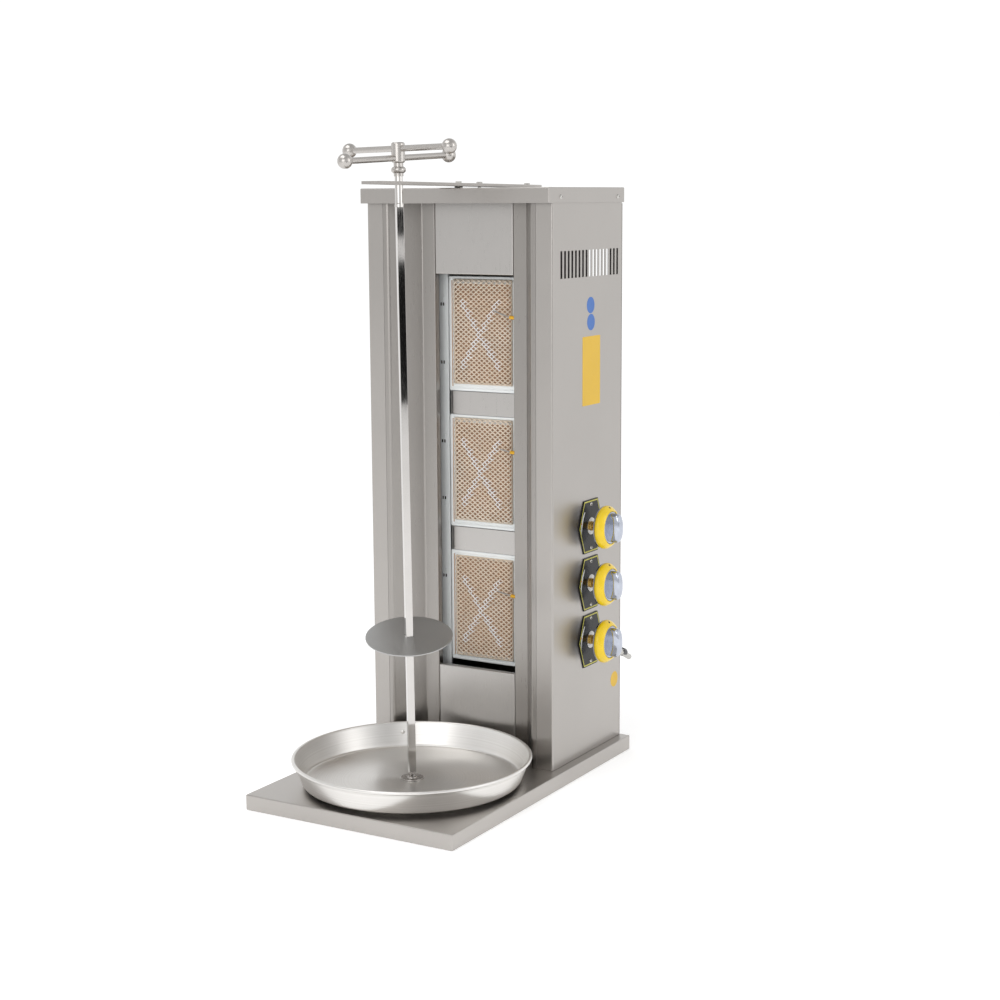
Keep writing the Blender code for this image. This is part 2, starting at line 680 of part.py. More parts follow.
def build_thermocouple(number, centre):
    """Sensing rod in front of the guard, its brass sleeve and its lead to the valve."""
    height = centre + SENSOR_RISE[number]
    tip_x, tip_rise = SENSOR_TIP[number]
    lane = LEAD_LANE + LEAD_PITCH * number
    valve = CONTROL_HEIGHTS[number]
    front = MESH_FRONT - SENSOR_STANDOFF
    sleeve_in, sleeve_out = SENSOR_SLEEVE
    corners = [
        (tip_x, front, height + tip_rise), (sleeve_in - 0.0015, front, height + 0.0010),
        (sleeve_in, front, height + 0.0006), (sleeve_out, front, height),
        (sleeve_out + 0.0015, front, height), (0.0960, front + 0.003, height - 0.004),
        (0.1120, front + 0.022, height - 0.010), (lane, LEAD_Y, height - 0.030),
        (lane, LEAD_Y, valve + 0.060), (lane + 0.006, LEAD_Y + 0.010, valve + 0.010),
        (CABINET_HALF - BODY_DEPTH - LEAD_GAP, CONTROL_Y - 0.008, valve + 0.008),
    ]
    swell = [1.0] * len(corners)
    swell[2:4] = [SENSOR_SLEEVE_SWELL] * 2
    curve = path_curve(f"thermocouple_{number}", corners, LEAD_RADIUS, swell)
    new_part(f"thermocouple_{number}", curve, "brass", MACHINE)


def build_burners():
    for number, centre in BURNER_CENTRES.items():
        build_burner_frame(number, centre)
        build_burner_mesh(number, centre)
        build_ceramic(number, centre)
        build_burner_body(number, centre)
        build_thermocouple(number, centre)


# ---------------------------------------------------------------- gas controls
def stem_bore(name, axis, clearance, low, high, flat_from):
    """A D-shaped cutter: round, with a flat from flat_from outwards."""
    radius = STEM_RADIUS + clearance
    bore = new_cutter(name, rod_mesh("bore", radius, low, high, 24), axis)
    flat = box_mesh("flat", ((-0.02, -0.02, flat_from), (-STEM_FLAT - clearance, 0.02, high + 0.01)))
    cut(bore, new_cutter(f"{name}_flat", flat, axis))
    return bore


def build_valve(number, axis):
    name = f"valve_body_{number}"
    block = box_mesh(name, ((-BODY_HALF, -BODY_HALF, -BODY_DEPTH),
                            (BODY_HALF, BODY_HALF, -SHEET - GAP)))
    body = new_part(name, block, "brass", axis)
    neck = rod_mesh("neck", NECK_RADIUS, -0.006, NECK_OUT)
    cut(body, new_cutter(f"{name}_neck", neck, axis), "UNION")
    reach = MANIFOLD_Y - CONTROL_Y - MANIFOLD_RADIUS - GAP
    from_axis = CABINET_HALF - MANIFOLD_X
    union = rod_mesh("saddle", 0.0060, 0.005, reach, 24)
    cut(body, new_cutter(f"{name}_saddle", union, axis, (0, 0, -from_axis),
                         (-math.pi / 2, 0, 0)), "UNION")
    seat = rod_mesh("seat", STEM_RADIUS + GAP, -STEM_IN - 0.001, NECK_OUT + 0.01, 24)
    cut(body, new_cutter(f"{name}_seat", seat, axis))


def build_stem(number, axis):
    stem = new_part(f"valve_stem_{number}",
                    rod_mesh("stem", STEM_RADIUS, -STEM_IN, STEM_OUT, 24), "brass", axis)
    flat = box_mesh("flat", ((-0.02, -0.02, STEM_OUT - STEM_FLAT_LENGTH),
                             (-STEM_FLAT, 0.02, STEM_OUT + 0.01)))
    cut(stem, new_cutter(f"stem_flat_{number}", flat, axis))


def grip_mesh():
    """Finger grip across the knob: widest in the middle, crowned towards its ends."""
    bm = bmesh.new()
    end_width, middle_width = GRIP_HALF_WIDTH
    sections = []
    for station in range(GRIP_STATIONS + 1):
        along = 2 * station / GRIP_STATIONS - 1
        width = end_width + (middle_width - end_width) * (1 - along ** 2)
        crown = KNOB_FRONT - GRIP_CROWN * abs(along) ** 2.4
        face = width - GRIP_TAPER
        outline = [
            (-width, KNOB_FACE - 0.002), (-face, crown - GRIP_EDGE),
            (-face + GRIP_EDGE * 0.3, crown - GRIP_EDGE * 0.3), (-face + GRIP_EDGE, crown),
            (face - GRIP_EDGE, crown), (face - GRIP_EDGE * 0.3, crown - GRIP_EDGE * 0.3),
            (face, crown - GRIP_EDGE), (width, KNOB_FACE - 0.002),
        ]
        sections.append([bm.verts.new((along * GRIP_HALF_LENGTH, y, z)) for y, z in outline])
    for first, second in zip(sections, sections[1:]):
        for index in range(len(first)):
            after = (index + 1) % len(first)
            bm.faces.new((first[index], first[after], second[after], second[index]))
    bm.faces.new(sections[0])
    bm.faces.new(sections[-1])
    bmesh.ops.recalc_face_normals(bm, faces=bm.faces)
    return mesh_from(bm, "grip")


def build_knob(number, axis):
    """Metal knob: coned flange behind the ring, skirt through it, grip in front."""
    back_of_flange, front_of_flange = KNOB_FLANGE_Z
    profile = [
        (0, KNOB_FACE), (KNOB_SKIRT - 0.0012, KNOB_FACE), (KNOB_SKIRT, KNOB_FACE - 0.0012),
        (KNOB_SKIRT, front_of_flange), (KNOB_FLANGE, front_of_flange),
        (KNOB_FLANGE, back_of_flange), KNOB_CONE, KNOB_HUB, (0, KNOB_HUB[1]),
    ]
    knob = turned(f"knob_{number}", profile, "chrome", axis, steps=32)
    cut(knob, new_cutter(f"knob_grip_{number}", grip_mesh(), axis), "UNION")
    bore_end = STEM_OUT + KNOB_TRAVEL + 0.001
    flat_from = STEM_OUT - STEM_FLAT_LENGTH + KNOB_TRAVEL + GAP
    cut(knob, stem_bore(f"knob_bore_{number}", axis, GAP, KNOB_HUB[1] - 0.01, bore_end, flat_from))


def build_knob_ring(number, axis):
    inner = KNOB_SKIRT + GAP
    profile = [(inner, KNOB_FLANGE_Z[1] + GAP), (inner, KNOB_FACE - 0.0010), *RING_PROFILE]
    turned(f"knob_ring_{number}", profile, "yellow_ring", axis, steps=32, closed=True)


def build_plate(number, axis):
    """Six-sided escutcheon, longer than it is wide, behind the knob."""
    corners = [
        (-PLATE_HALF_HEIGHT, -PLATE_SHOULDER), (-PLATE_HALF_HEIGHT, PLATE_SHOULDER),
        (0, PLATE_HALF_WIDTH), (PLATE_HALF_HEIGHT, PLATE_SHOULDER),
        (PLATE_HALF_HEIGHT, -PLATE_SHOULDER), (0, -PLATE_HALF_WIDTH),
    ]
    bm = bmesh.new()
    face = bm.faces.new([bm.verts.new((x, y, GAP)) for x, y in corners])
    grown = bmesh.ops.extrude_face_region(bm, geom=[face])["geom"]
    lifted = [item for item in grown if isinstance(item, bmesh.types.BMVert)]
    bmesh.ops.translate(bm, verts=lifted, vec=(0, 0, PLATE_THICK))
    bmesh.ops.recalc_face_normals(bm, faces=bm.faces)
    plate = new_part(f"knob_plate_{number}", mesh_from(bm, "plate"), "black_enamel", axis)
    hole = rod_mesh("hole", NECK_RADIUS + GAP, -0.01, 0.01)
    cut(plate, new_cutter(f"plate_hole_{number}", hole, axis))


def build_controls():
    for number, height in CONTROL_HEIGHTS.items():
        axis = new_empty(f"control_axis_{number}", MACHINE,
                         (CABINET_HALF, CONTROL_Y, height), (0, math.pi / 2, 0))
        build_valve(number, axis)
        build_stem(number, axis)
        build_plate(number, axis)
        build_knob(number, axis)
        build_knob_ring(number, axis)


def build_manifold():
    bore = MANIFOLD_RADIUS - 0.0015
    top = MANIFOLD_TOP
    profile = [
        (0, top), (MANIFOLD_RADIUS, top), (MANIFOLD_RADIUS, MANIFOLD_BOTTOM),
        (bore, MANIFOLD_BOTTOM), (bore, top - 0.003), (0, top - 0.003),
    ]
    turned("gas_manifold", profile, "copper", MACHINE, steps=20,
           location=(MANIFOLD_X, MANIFOLD_Y, 0))


def build_inlet():
    """Bent inlet pipe: from under the manifold, out of the back, then down."""
    corners = [
        (MANIFOLD_X, MANIFOLD_Y, MANIFOLD_BOTTOM - GAP), (MANIFOLD_X, MANIFOLD_Y, INLET_HEIGHT),
        INLET_BEND, INLET_END,
    ]
    path = rounded_path(corners, BEND_RADIUS)
    outer = curve_to_mesh("gas_inlet", path_curve("gas_inlet", path, INLET_RADIUS))
    inlet = new_part("gas_inlet", outer, "brass", MACHINE)
    start = Vector(path[0]) + Vector((0, 0, 0.01))
    end = path[-1] + (path[-1] - path[-2]).normalized() * 0.01
    bore_path = [start] + path[1:-1] + [end]
    bore = curve_to_mesh("inlet_bore", path_curve("inlet_bore", bore_path, INLET_BORE))
    cut(inlet, new_cutter("inlet_bore", bore, MACHINE))


def build_supply_tubes():
    start_x = CABINET_HALF - BODY_DEPTH - GAP
    for number, centre in BURNER_CENTRES.items():
        valve = CONTROL_HEIGHTS[number]
        mouth = centre - MIXER_BELOW
        crossing = mouth - 0.042
        corners = [
            (start_x, CONTROL_Y + 0.004, valve), (RISER_X, CONTROL_Y + 0.004, valve),
            (RISER_X, MIXER_Y, crossing), (0, MIXER_Y, crossing), (0, MIXER_Y, mouth - JET_GAP),
        ]
        curve = path_curve(f"supply_tube_{number}", rounded_path(corners, 0.012), TUBE_RADIUS)
        new_part(f"supply_tube_{number}", curve, "copper", MACHINE)


# ---------------------------------------------------------------- spit and pan
def build_pan():
    floor = BASE_HEIGHT + PAN_LIFT + GAP
    wall_out = PAN_RIM_RADIUS - PAN_BEAD * 1.6
    corner_out = (PAN_FLOOR_RADIUS, floor + PAN_CORNER)
    bead = (PAN_RIM_RADIUS - PAN_BEAD, PAN_RIM_Z)
    corner_in = PAN_CORNER - PAN_SHEET
    profile = [(0, floor + PAN_SHEET)]
    profile += arc(corner_out, corner_in, -90, -28, 3)
    profile += [(wall_out - PAN_SHEET * 1.05, PAN_RIM_Z - PAN_BEAD * 0.6)]
    profile += arc(bead, PAN_BEAD, 160, -130, 6)
    profile += [(wall_out, PAN_RIM_Z - PAN_BEAD * 1.4)]
    profile += arc(corner_out, PAN_CORNER, -28, -90, 3)
    profile += [(0, floor)]
    turned("drip_pan", profile, "aluminium", MACHINE, steps=48, location=(PAN_X, PAN_Y, 0))


def build_socket():
    """Pivot plate on the pan's floor, with a dimple for the spit's point."""
    low = BASE_HEIGHT + PAN_LIFT + PAN_SHEET + 2 * GAP
    top = low + SOCKET_THICK
    profile = [
        (0, low + 0.0012), (SOCKET_HOLE, top + 0.0012), (SOCKET_HOLE + 0.001, top + 0.0016),
        (SOCKET_BOSS - 0.001, top + 0.0012), (SOCKET_BOSS, top),
        (SOCKET_RADIUS - 0.0008, top), (SOCKET_RADIUS, top - 0.0008),
        (SOCKET_RADIUS, low), (0, low),
    ]
    turned("spit_socket", profile, "bright_steel", MACHINE, steps=20, location=(PAN_X, PAN_Y, 0))


def build_spit_rod(axis):
    """Square bar with a pointed foot and a round journal and tenon on top."""
    half = SPIT_BAR / 2
    length_to = SPIT_ROUND_Z - SPIT_FOOT_Z
    bm = bmesh.new()
    add_box(bm, (-half, -half, SPIT_TIP), (half, half, length_to))
    bottom = [face for face in bm.faces if face.normal.z < -0.9]
    grown = bmesh.ops.extrude_face_region(bm, geom=bottom)["geom"]
    bmesh.ops.delete(bm, geom=bottom, context="FACES")
    tip = [item for item in grown if isinstance(item, bmesh.types.BMVert)]
    bmesh.ops.translate(bm, verts=tip, vec=(0, 0, -SPIT_TIP))
    bmesh.ops.scale(bm, verts=tip, vec=(0.22, 0.22, 1))
    rod = new_part("spit_rod", mesh_from(bm, "spit_rod"), "bright_steel", axis,
                   rotation=(0, 0, BAR_TURN))
    tenon_low = SPIT_TENON_Z - SPIT_FOOT_Z
    top = SPIT_TOP_Z - SPIT_FOOT_Z
    low = length_to - 0.004
    profile = [
        (0, top), (SPIT_TENON, top), (SPIT_TENON, tenon_low), (SPIT_JOURNAL, tenon_low),
        (SPIT_JOURNAL, low), (0, low),
    ]
    journal = new_cutter("spit_journal", profile_mesh("spit_journal", profile), axis)
    add_screw(journal, 28)
    cut(rod, journal, "UNION")


def build_spit_hub(axis):
    """Turned head: bead, neck and a hub with two crossed holes."""
    def lift(points):
        return [(radius, height - SPIT_FOOT_Z) for radius, height in points]

    low, high = HUB_Z
    bore = SPIT_TENON + GAP
    outline = [(0, high), (HUB_RADIUS - 0.0035, high)]
    outline += [(HUB_RADIUS - 0.0012, high - 0.0012), (HUB_RADIUS, high - 0.0032)]
    outline += [(HUB_RADIUS, low + 0.0022), (HUB_RADIUS - 0.0014, low + 0.0006)]
    outline += [(NECK_R, low - 0.0006), (NECK_R, BEAD_Z + 0.0062)]
    outline += arc((BEAD_RADIUS - 0.0050, BEAD_Z), 0.0050, 72, -72, 4)
    outline += [(NECK_R, HUB_BOTTOM_Z), (bore, HUB_BOTTOM_Z), (bore, SPIT_TOP_Z + 0.001)]
    outline += [(0, SPIT_TOP_Z + 0.001)]
    hub = turned("spit_hub", lift(outline), "bright_steel", axis, steps=20)
    for name, height in HANDLE_Z.items():
        hole = rod_mesh("hole", HANDLE_ROD + GAP, -0.02, 0.02, 16)
        cut(hub, new_cutter(f"{name}_hole", hole, axis, (0, 0, height - SPIT_FOOT_Z),
                            (math.pi / 2 + HANDLE_DROOP[name], 0, HANDLE_TURN[name])))


def build_handles(axis):
    """Two ball-ended rods, one above the other, crossed nearly at a right angle."""
    contact = math.degrees(math.asin(HANDLE_ROD / HANDLE_BALL))
    for name, height in HANDLE_Z.items():
        profile = arc((0, HANDLE_HALF), HANDLE_BALL, 90, contact - 90, 7)
        profile += arc((0, -HANDLE_HALF), HANDLE_BALL, 90 - contact, -90, 7)
        profile[0] = (0, HANDLE_HALF + HANDLE_BALL)
        profile[-1] = (0, -HANDLE_HALF - HANDLE_BALL)
        turned(name, profile, "bright_steel", axis, steps=16,
               location=(0, 0, height - SPIT_FOOT_Z),
               rotation=(math.pi / 2 + HANDLE_DROOP[name], 0, HANDLE_TURN[name]))


def build_disc(axis):
    """Loose plate that holds the meat up; it hangs askew on the square bar."""
    pivot = new_empty("disc_pivot", axis, (0, 0, DISC_Z - SPIT_FOOT_Z), (0, 0, DISC_TILT_HEADING))
    disc = new_part("meat_disc", rod_mesh("meat_disc", DISC_RADIUS, -DISC_THICK / 2,
                                          DISC_THICK / 2, 56),
                    "steel", pivot, rotation=(DISC_TILT, 0, 0))
    half = DISC_HOLE / 2
    hole = box_mesh("disc_hole", ((-half, -half, -0.02), (half, half, 0.02)))
    cut(disc, new_cutter("disc_hole", hole, axis, (0, 0, DISC_Z - SPIT_FOOT_Z), (0, 0, BAR_TURN)))


def build_arm():
    """Flat arm bolted along the cap; its front end guides the spit's journal."""
    pivot = new_empty("arm_pivot", MACHINE, (ARM_X, ARM_BACK, CAP_TOP + ARM_LIFT),
                      (-ARM_TILT, 0, 0))
    length = ARM_BACK - ARM_FRONT
    arm = new_part("top_arm", box_mesh("top_arm", ((-ARM_HALF, -length, 0),
                                                   (ARM_HALF, 0, ARM_THICK))),
                   "steel", pivot)
    guide = rod_mesh("guide", ARM_HOLE, -0.02, 0.02)
    cut(arm, new_cutter("arm_guide_hole", guide, MACHINE, (ARM_X, PAN_Y, CAP_TOP + 0.007)))
    rise = math.tan(ARM_TILT)
    head_radius, head_height = BOLT_HEAD
    for place, y in ARM_BOLTS.items():
        hole = rod_mesh("hole", BOLT_RADIUS + 0.0005, -0.02, 0.02, 24)
        cut(arm, new_cutter(f"arm_hole_{place}", hole, MACHINE, (ARM_X, y, CAP_TOP + 0.007)))
        seat = CAP_TOP + ARM_LIFT + ARM_THICK + (ARM_BACK - y + head_radius) * rise + GAP
        head = rod_mesh("head", head_radius, seat, seat + head_height, 6)
        bolt = new_part(f"arm_bolt_{place}", head, "bright_steel", MACHINE, location=(ARM_X, y, 0))
        shank = rod_mesh("shank", BOLT_RADIUS, CAP_TOP - 0.0105, seat + 0.002, 20)
        cut(bolt, new_cutter(f"bolt_shank_{place}", shank, MACHINE, (ARM_X, y, 0)), "UNION")
        nut_top = CAP_TOP - SHEET - GAP
        nut = rod_mesh("nut", head_radius, nut_top - 0.005, nut_top, 6)
        cut(bolt, new_cutter(f"bolt_nut_{place}", nut, MACHINE, (ARM_X, y, 0)), "UNION")
    front = ARM_BOLTS["front"]
    room = ARM_LIFT + (ARM_BACK - front - SPACER_RADIUS) * rise
    outer = SPACER_RADIUS
    inner = BOLT_RADIUS + GAP
    low = CAP_TOP + GAP
    high = CAP_TOP + room - GAP
    turned("arm_spacer", [(outer, high), (outer, low), (inner, low), (inner, high)],
           "bright_steel", MACHINE, steps=24, closed=True, location=(ARM_X, front, 0))


def build_spit():
    arm_height = CAP_TOP + 0.007
    lean = math.atan2(PAN_X - ARM_X, arm_height - SPIT_FOOT_Z)
    axis = new_empty("spit_axis", MACHINE, (PAN_X, PAN_Y, SPIT_FOOT_Z), (0, -lean, 0))
    build_spit_rod(axis)
    build_spit_hub(axis)
    build_handles(axis)
    build_disc(axis)


clear_scene()
PARTS = new_collection("vertical_broiler")
CUTTERS = new_collection("cutters")
MATERIALS = {name: new_material(name, *values) for name, values in COLOURS.items()}
MACHINE = new_empty("machine", location=(-(LEFT_MOST + RIGHT_MOST) / 2,
                                         -(FRONT_MOST + BACK_MOST) / 2, 0))
build_base()
build_side_panels()
build_rear_panel()
build_cap()
build_reflectors()
build_front_panels()
build_cover_strips()
build_rails()
build_burners()
build_controls()
build_manifold()
build_inlet()
build_supply_tubes()
build_pan()
build_socket()
build_spit()
build_arm()
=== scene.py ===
"""Looks of the vertical gas broiler: finer pieces, materials, studio and camera.

Metres, +Z up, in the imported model's frame. at(x, y, z) counts from the middle of
the base plate's footprint: X to the operator's right, Y towards the cabinet.
"""
import json
import math

import bmesh
import bpy
from mathutils import Matrix, Vector


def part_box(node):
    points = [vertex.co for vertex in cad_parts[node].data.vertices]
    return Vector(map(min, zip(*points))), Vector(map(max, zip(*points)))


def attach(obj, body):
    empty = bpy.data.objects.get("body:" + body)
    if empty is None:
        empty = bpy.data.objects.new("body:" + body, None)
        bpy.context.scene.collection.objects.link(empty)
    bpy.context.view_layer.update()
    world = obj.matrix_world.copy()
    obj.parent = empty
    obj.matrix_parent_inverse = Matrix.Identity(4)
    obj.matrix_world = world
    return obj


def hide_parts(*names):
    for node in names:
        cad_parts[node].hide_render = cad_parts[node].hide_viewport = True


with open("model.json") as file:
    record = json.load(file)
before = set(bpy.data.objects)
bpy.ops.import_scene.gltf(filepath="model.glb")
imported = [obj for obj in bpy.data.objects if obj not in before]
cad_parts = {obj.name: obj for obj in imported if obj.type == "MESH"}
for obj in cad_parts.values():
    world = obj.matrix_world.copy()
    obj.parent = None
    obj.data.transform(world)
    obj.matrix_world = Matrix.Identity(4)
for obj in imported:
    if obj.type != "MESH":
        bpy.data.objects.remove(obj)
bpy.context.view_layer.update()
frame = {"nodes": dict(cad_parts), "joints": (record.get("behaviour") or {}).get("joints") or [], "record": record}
NODES = frame["nodes"]
JOINTS = {joint["name"]: joint for joint in frame["joints"]}
SCENE = bpy.context.scene

BASE_LOW, BASE_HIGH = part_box("base_tray")
ORIGIN = Vector(((BASE_LOW.x + BASE_HIGH.x) / 2, (BASE_LOW.y + BASE_HIGH.y) / 2, 0))
CONTROLS = (1, 2, 3)
BURNERS = (1, 2, 3)
SHARP = math.radians(34)          # edges that bend more than this stay crisp
FLAT = math.radians(0.6)          # faces that bend less than this are one face
FACE_WEIGHT = 90                  # how much the larger faces rule the shading
EASE = 0.00025                    # width of the eased edges of a CAD piece
EASE_OF_SLOT = {"arm_steel": 0.0005, "bolt_steel": 0.0004, "plate_black": 0.0003}
FILM = 0.00015                    # stickers and printed marks
LIFT = 0.00005                    # a printed mark above what it is on
TO_FRONT = Matrix.Rotation(math.pi / 2, 4, "X")    # turns local Z to the front

# ----------------------------------------------------------------- pan and spit
PAN_SHEET = 0.0016
PAN_FLOOR_RADIUS = 0.1775
PAN_CORNER = 0.0075
PAN_BEAD = 0.0032
PAN_WALL_SLOPE = -16              # degrees below the horizon, square to the wall
DIMPLE_HEADING = 128
DIMPLE_HEIGHT = 0.0260
SOCKET_BOSS = 0.0085
SOCKET_THICK = 0.0020
SOCKET_HOLE = 0.0030
BAR_HALF = 0.0060
BAR_EDGE = 0.0007
BAR_TIP = 0.0090
BAR_TOP = 0.9461                  # above the foot, where the journal begins
JOURNAL = 0.0066
JOURNAL_TOP = 0.9906
BEAD_HEIGHT = 1.0006
BEAD_RADIUS = 0.0120
BEAD_ROUND = 0.0052
HUB_NECK = 0.0078
HUB_RADIUS = 0.0110
HUB_SPAN = (1.0121, 1.0441)
HANDLE_ROD = 0.0050
HANDLE_HALF = 0.117
HANDLE_BALL = 0.0120
HANDLE_STUB = 0.03                # the rod's profile starts this far in from a ball

# --------------------------------------------------------------------- controls
# Distances out from the side panel's face, along a control's axis.
KNOB_SKIRT = 0.0277
KNOB_FACE = 0.0422
KNOB_FRONT = 0.0609
KNOB_FLANGE = 0.0360
GRIP_HALF_LENGTH = 0.0255
GRIP_HALF_WIDTH = (0.0066, 0.0090)
GRIP_CROWN = 0.0046
GRIP_END = 0.80                   # share of the half length where the end rounds off
GRIP_STATIONS = 28
GRIP_SECTION = (                  # across: share of the half width, share of the height
    (1.00, 0.00), (0.985, 0.35), (0.96, 0.66), (0.93, 0.82), (0.86, 0.925),
    (0.74, 0.975), (0.50, 0.995), (0.0, 1.0),
)
RING_PROFILE = (
    (0.0280, 0.0272), (0.0280, 0.0412), (0.0284, 0.0421), (0.0292, 0.0425),
    (0.0301, 0.0421), (0.0322, 0.0405), (0.0337, 0.0389), (0.0352, 0.0370),
    (0.0363, 0.0353), (0.0371, 0.0335), (0.0375, 0.0320), (0.0376, 0.0305),
    (0.0374, 0.0289), (0.0368, 0.0276), (0.0360, 0.0272),
)
KNOB_BACK_PROFILE = (             # flange behind the ring, and the cone to the stem
    (KNOB_FLANGE - 0.0006, 0.0268), (KNOB_FLANGE, 0.0262), (KNOB_FLANGE, 0.0244),
    (KNOB_FLANGE - 0.0006, 0.0238), (0.0300, 0.0230), (0.0210, 0.0212), (0.0140, 0.0190),
    (0.0110, 0.0182), (0.0092, 0.0172), (0.0085, 0.0165), (0, 0.0165),
)
RING_MARK = (-0.0346, 0, 0.0379)
RING_MARK_TILT = math.radians(52)
PLATE_FACE = 0.0018
PLATE_CORNERS = ((0.0465, 0.0255), (0.0, 0.0440), (-0.0465, 0.0255))
PLATE_REACH = 0.0420              # from the middle of a plate to its sides
PLATE_LINE = (0.0016, 0.0036)     # printed line: from and to, in from the edge
PLATE_SCREW = 0.0385
NECK = 0.0080
WASHER = 0.0150

# ---------------------------------------------------------------------- burners
GUARD_COLUMNS = 11
GUARD_ROWS = 22
GUARD_STRAND = 0.0034
GUARD_FOLD = 0.0035
CREASE_RISE = 0.0034
CREASE_REACH = 0.0065
CREASE_PALE = 0.30                # cells are pale where the crease is at least this high
GUARD_BACK = 0.0008               # strands stay this far in front of the guard's back
CREASE_SPAN = ((0.17, 0.82), (0.80, 0.16))   # across and down, as shares of the guard
FRAME_SHEET = 0.0007
RAIL_SLOT = (0.0014, 0.0027)      # half width and half height
RAIL_SLOT_PAIR = (0.0808, 0.0856)
EAR_SPACING = 0.1015
RAIL_PIPS = ((0.062, "upper"), (-0.064, "lower"))
SENSOR_SLEEVE = (0.0610, 0.0752)  # where the brass sleeve starts and ends, across
BLEND = 0.0003

# ------------------------------------------------------- screws, labels, fittings
CAP_SCREWS = ((0.071, "front"), (0.278, "back"))
CAP_SCREW_HEIGHT = 0.9945
STICKER_RADIUS = 0.0140
STICKERS = {
    "sticker_blue_upper": (0.1825, 0.8126, "vinyl_blue"),
    "sticker_blue_lower": (0.1838, 0.7837, "vinyl_blue"),
    "sticker_yellow": (0.2780, 0.1360, "vinyl_yellow"),
}
LABEL_PLACE = (0.1855, 0.7010)
LABEL_HALF = (0.0590, 0.0325)
LABEL_CORNER = 0.0020
INLET_BEND = (0.0160, 0.1800)     # out from the rear panel, and height
COLLAR_SPAN = (0.35, 0.61)        # shares of the way from the bend to the end

# ------------------------------------------------------------------------ studio
FLOOR_RADIUS = 6.0
FLAG_HEADING = math.radians(60)   # to the right of straight ahead
FLAG_DISTANCE = 2.0
FLAG_HALF_WIDTH = 0.42
FLAGS = {"flag_low": (0.471, 0.858), "flag_high": (0.92, 1.00)}
LIGHTS = {                        # place, target, size and power
    "overhead": ((-0.6, -1.2, 3.2), (0, 0, 0.5), (2.4, 1.6), 22),
    "front": ((0.5, -3.2, 1.5), (0, 0.1, 0.5), (2.0, 1.6), 15),
    "side": ((3.0, 0.4, 1.8), (0, 0.1, 0.5), (1.2, 2.0), 10),
}
CAMERA_PLACE = (1.6339, -2.6087, 0.9952)
CAMERA_TURN = (30.321, 9.354, -0.295)    # round to the left, down, and roll
CAMERA_LENS = 66.3
CAMERA_SENSOR = 36


def at(x, y, z):
    return ORIGIN + Vector((x, y, z))


def middle(node):
    low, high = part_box(node)
    return (low + high) / 2


def aimed(spot, direction):
    """A place at spot whose local Z runs along direction."""
    return Matrix.Translation(spot) @ direction.to_track_quat("Z", "Y").to_matrix().to_4x4()


# -------------------------------------------------------------------- materials
def linear(red, green, blue):
    """An sRGB colour, 0 to 255, as the shader's linear values."""
    channels = [value / 255 for value in (red, green, blue)]
    return [c / 12.92 if c <= 0.04045 else ((c + 0.055) / 1.055) ** 2.4 for c in channels]


def add_node(tree, kind, settings=None, **inputs):
    made = tree.nodes.new(kind)
    for name, value in (settings or {}).items():
        setattr(made, name, value)
    for name, value in inputs.items():
        socket = made.inputs[int(name[1:]) if name[0] == "i" and name[1:].isdigit()
                             else name.replace("_", " ")]
        if isinstance(value, bpy.types.NodeSocket):
            tree.links.new(value, socket)
        else:
            socket.default_value = value
    return made


def stretched_noise(tree, stretch, scale, detail=4.0, roughness=0.55):
    """Noise fixed to the piece; a small stretch value draws it out along that axis."""
    place = add_node(tree, "ShaderNodeTexCoord").outputs["Object"]
    mapped = add_node(tree, "ShaderNodeMapping", Vector=place, Scale=stretch)
    noise = add_node(tree, "ShaderNodeTexNoise", Vector=mapped.outputs["Vector"], Scale=scale,
                     Detail=detail, Roughness=roughness)
    return noise.outputs["Fac"]


def ranged(tree, value, low, high, start=0.3, end=0.7):
    mapped = add_node(tree, "ShaderNodeMapRange", {"clamp": True}, Value=value,
                      From_Min=start, From_Max=end, To_Min=low, To_Max=high)
    return mapped.outputs["Result"]


def mixed(tree, factor, first, second, blend="MIX"):
    """A colour mix; first and second are colours or sockets."""
    mix = add_node(tree, "ShaderNodeMix", {"data_type": "RGBA", "blend_type": blend})
    for socket, value in ((mix.inputs[0], factor), (mix.inputs[6], first), (mix.inputs[7], second)):
        if isinstance(value, bpy.types.NodeSocket):
            tree.links.new(value, socket)
        elif isinstance(value, (int, float)):
            socket.default_value = value
        else:
            socket.default_value = (*value[:3], 1.0)
    return mix.outputs[2]


def scaled(colour, factor):
    return [min(channel * factor, 1.0) for channel in colour]


def surface(name, colour, roughness, metallic=0.0, spread=0.05, rough_spread=0.05,
            stretch=(1, 1, 1), scale=60.0, cloud=6.0, bump=0.02, depth=0.0002, **uniform):
    """A finish with drifting colour, uneven gloss and a fine grain.

    Returns the material, its node tree, the shader and the colour socket.
    """
    made = bpy.data.materials.new(name)
    made.use_nodes = True
    tree = made.node_tree
    shader = tree.nodes["Principled BSDF"]
    fine = stretched_noise(tree, stretch, scale)
    drift = stretched_noise(tree, (1, 1, 1), cloud, detail=3.0)
    paint = mixed(tree, ranged(tree, drift, 0, 1), scaled(colour, 1 - spread),
                  scaled(colour, 1 + spread))
    grain = mixed(tree, ranged(tree, fine, 0, 1), (1 - spread * 0.6,) * 3, (1, 1, 1))
    paint = mixed(tree, 1.0, paint, grain, "MULTIPLY")
    tree.links.new(paint, shader.inputs["Base Color"])
    gloss = ranged(tree, fine, roughness - rough_spread, roughness + rough_spread)
    tree.links.new(gloss, shader.inputs["Roughness"])
    relief = add_node(tree, "ShaderNodeBump", Strength=bump, Distance=depth, Height=fine)
    tree.links.new(relief.outputs["Normal"], shader.inputs["Normal"])
    shader.inputs["Metallic"].default_value = metallic
    for socket, value in uniform.items():
        shader.inputs[socket.replace("_", " ")].default_value = value
    return made, tree, shader, paint


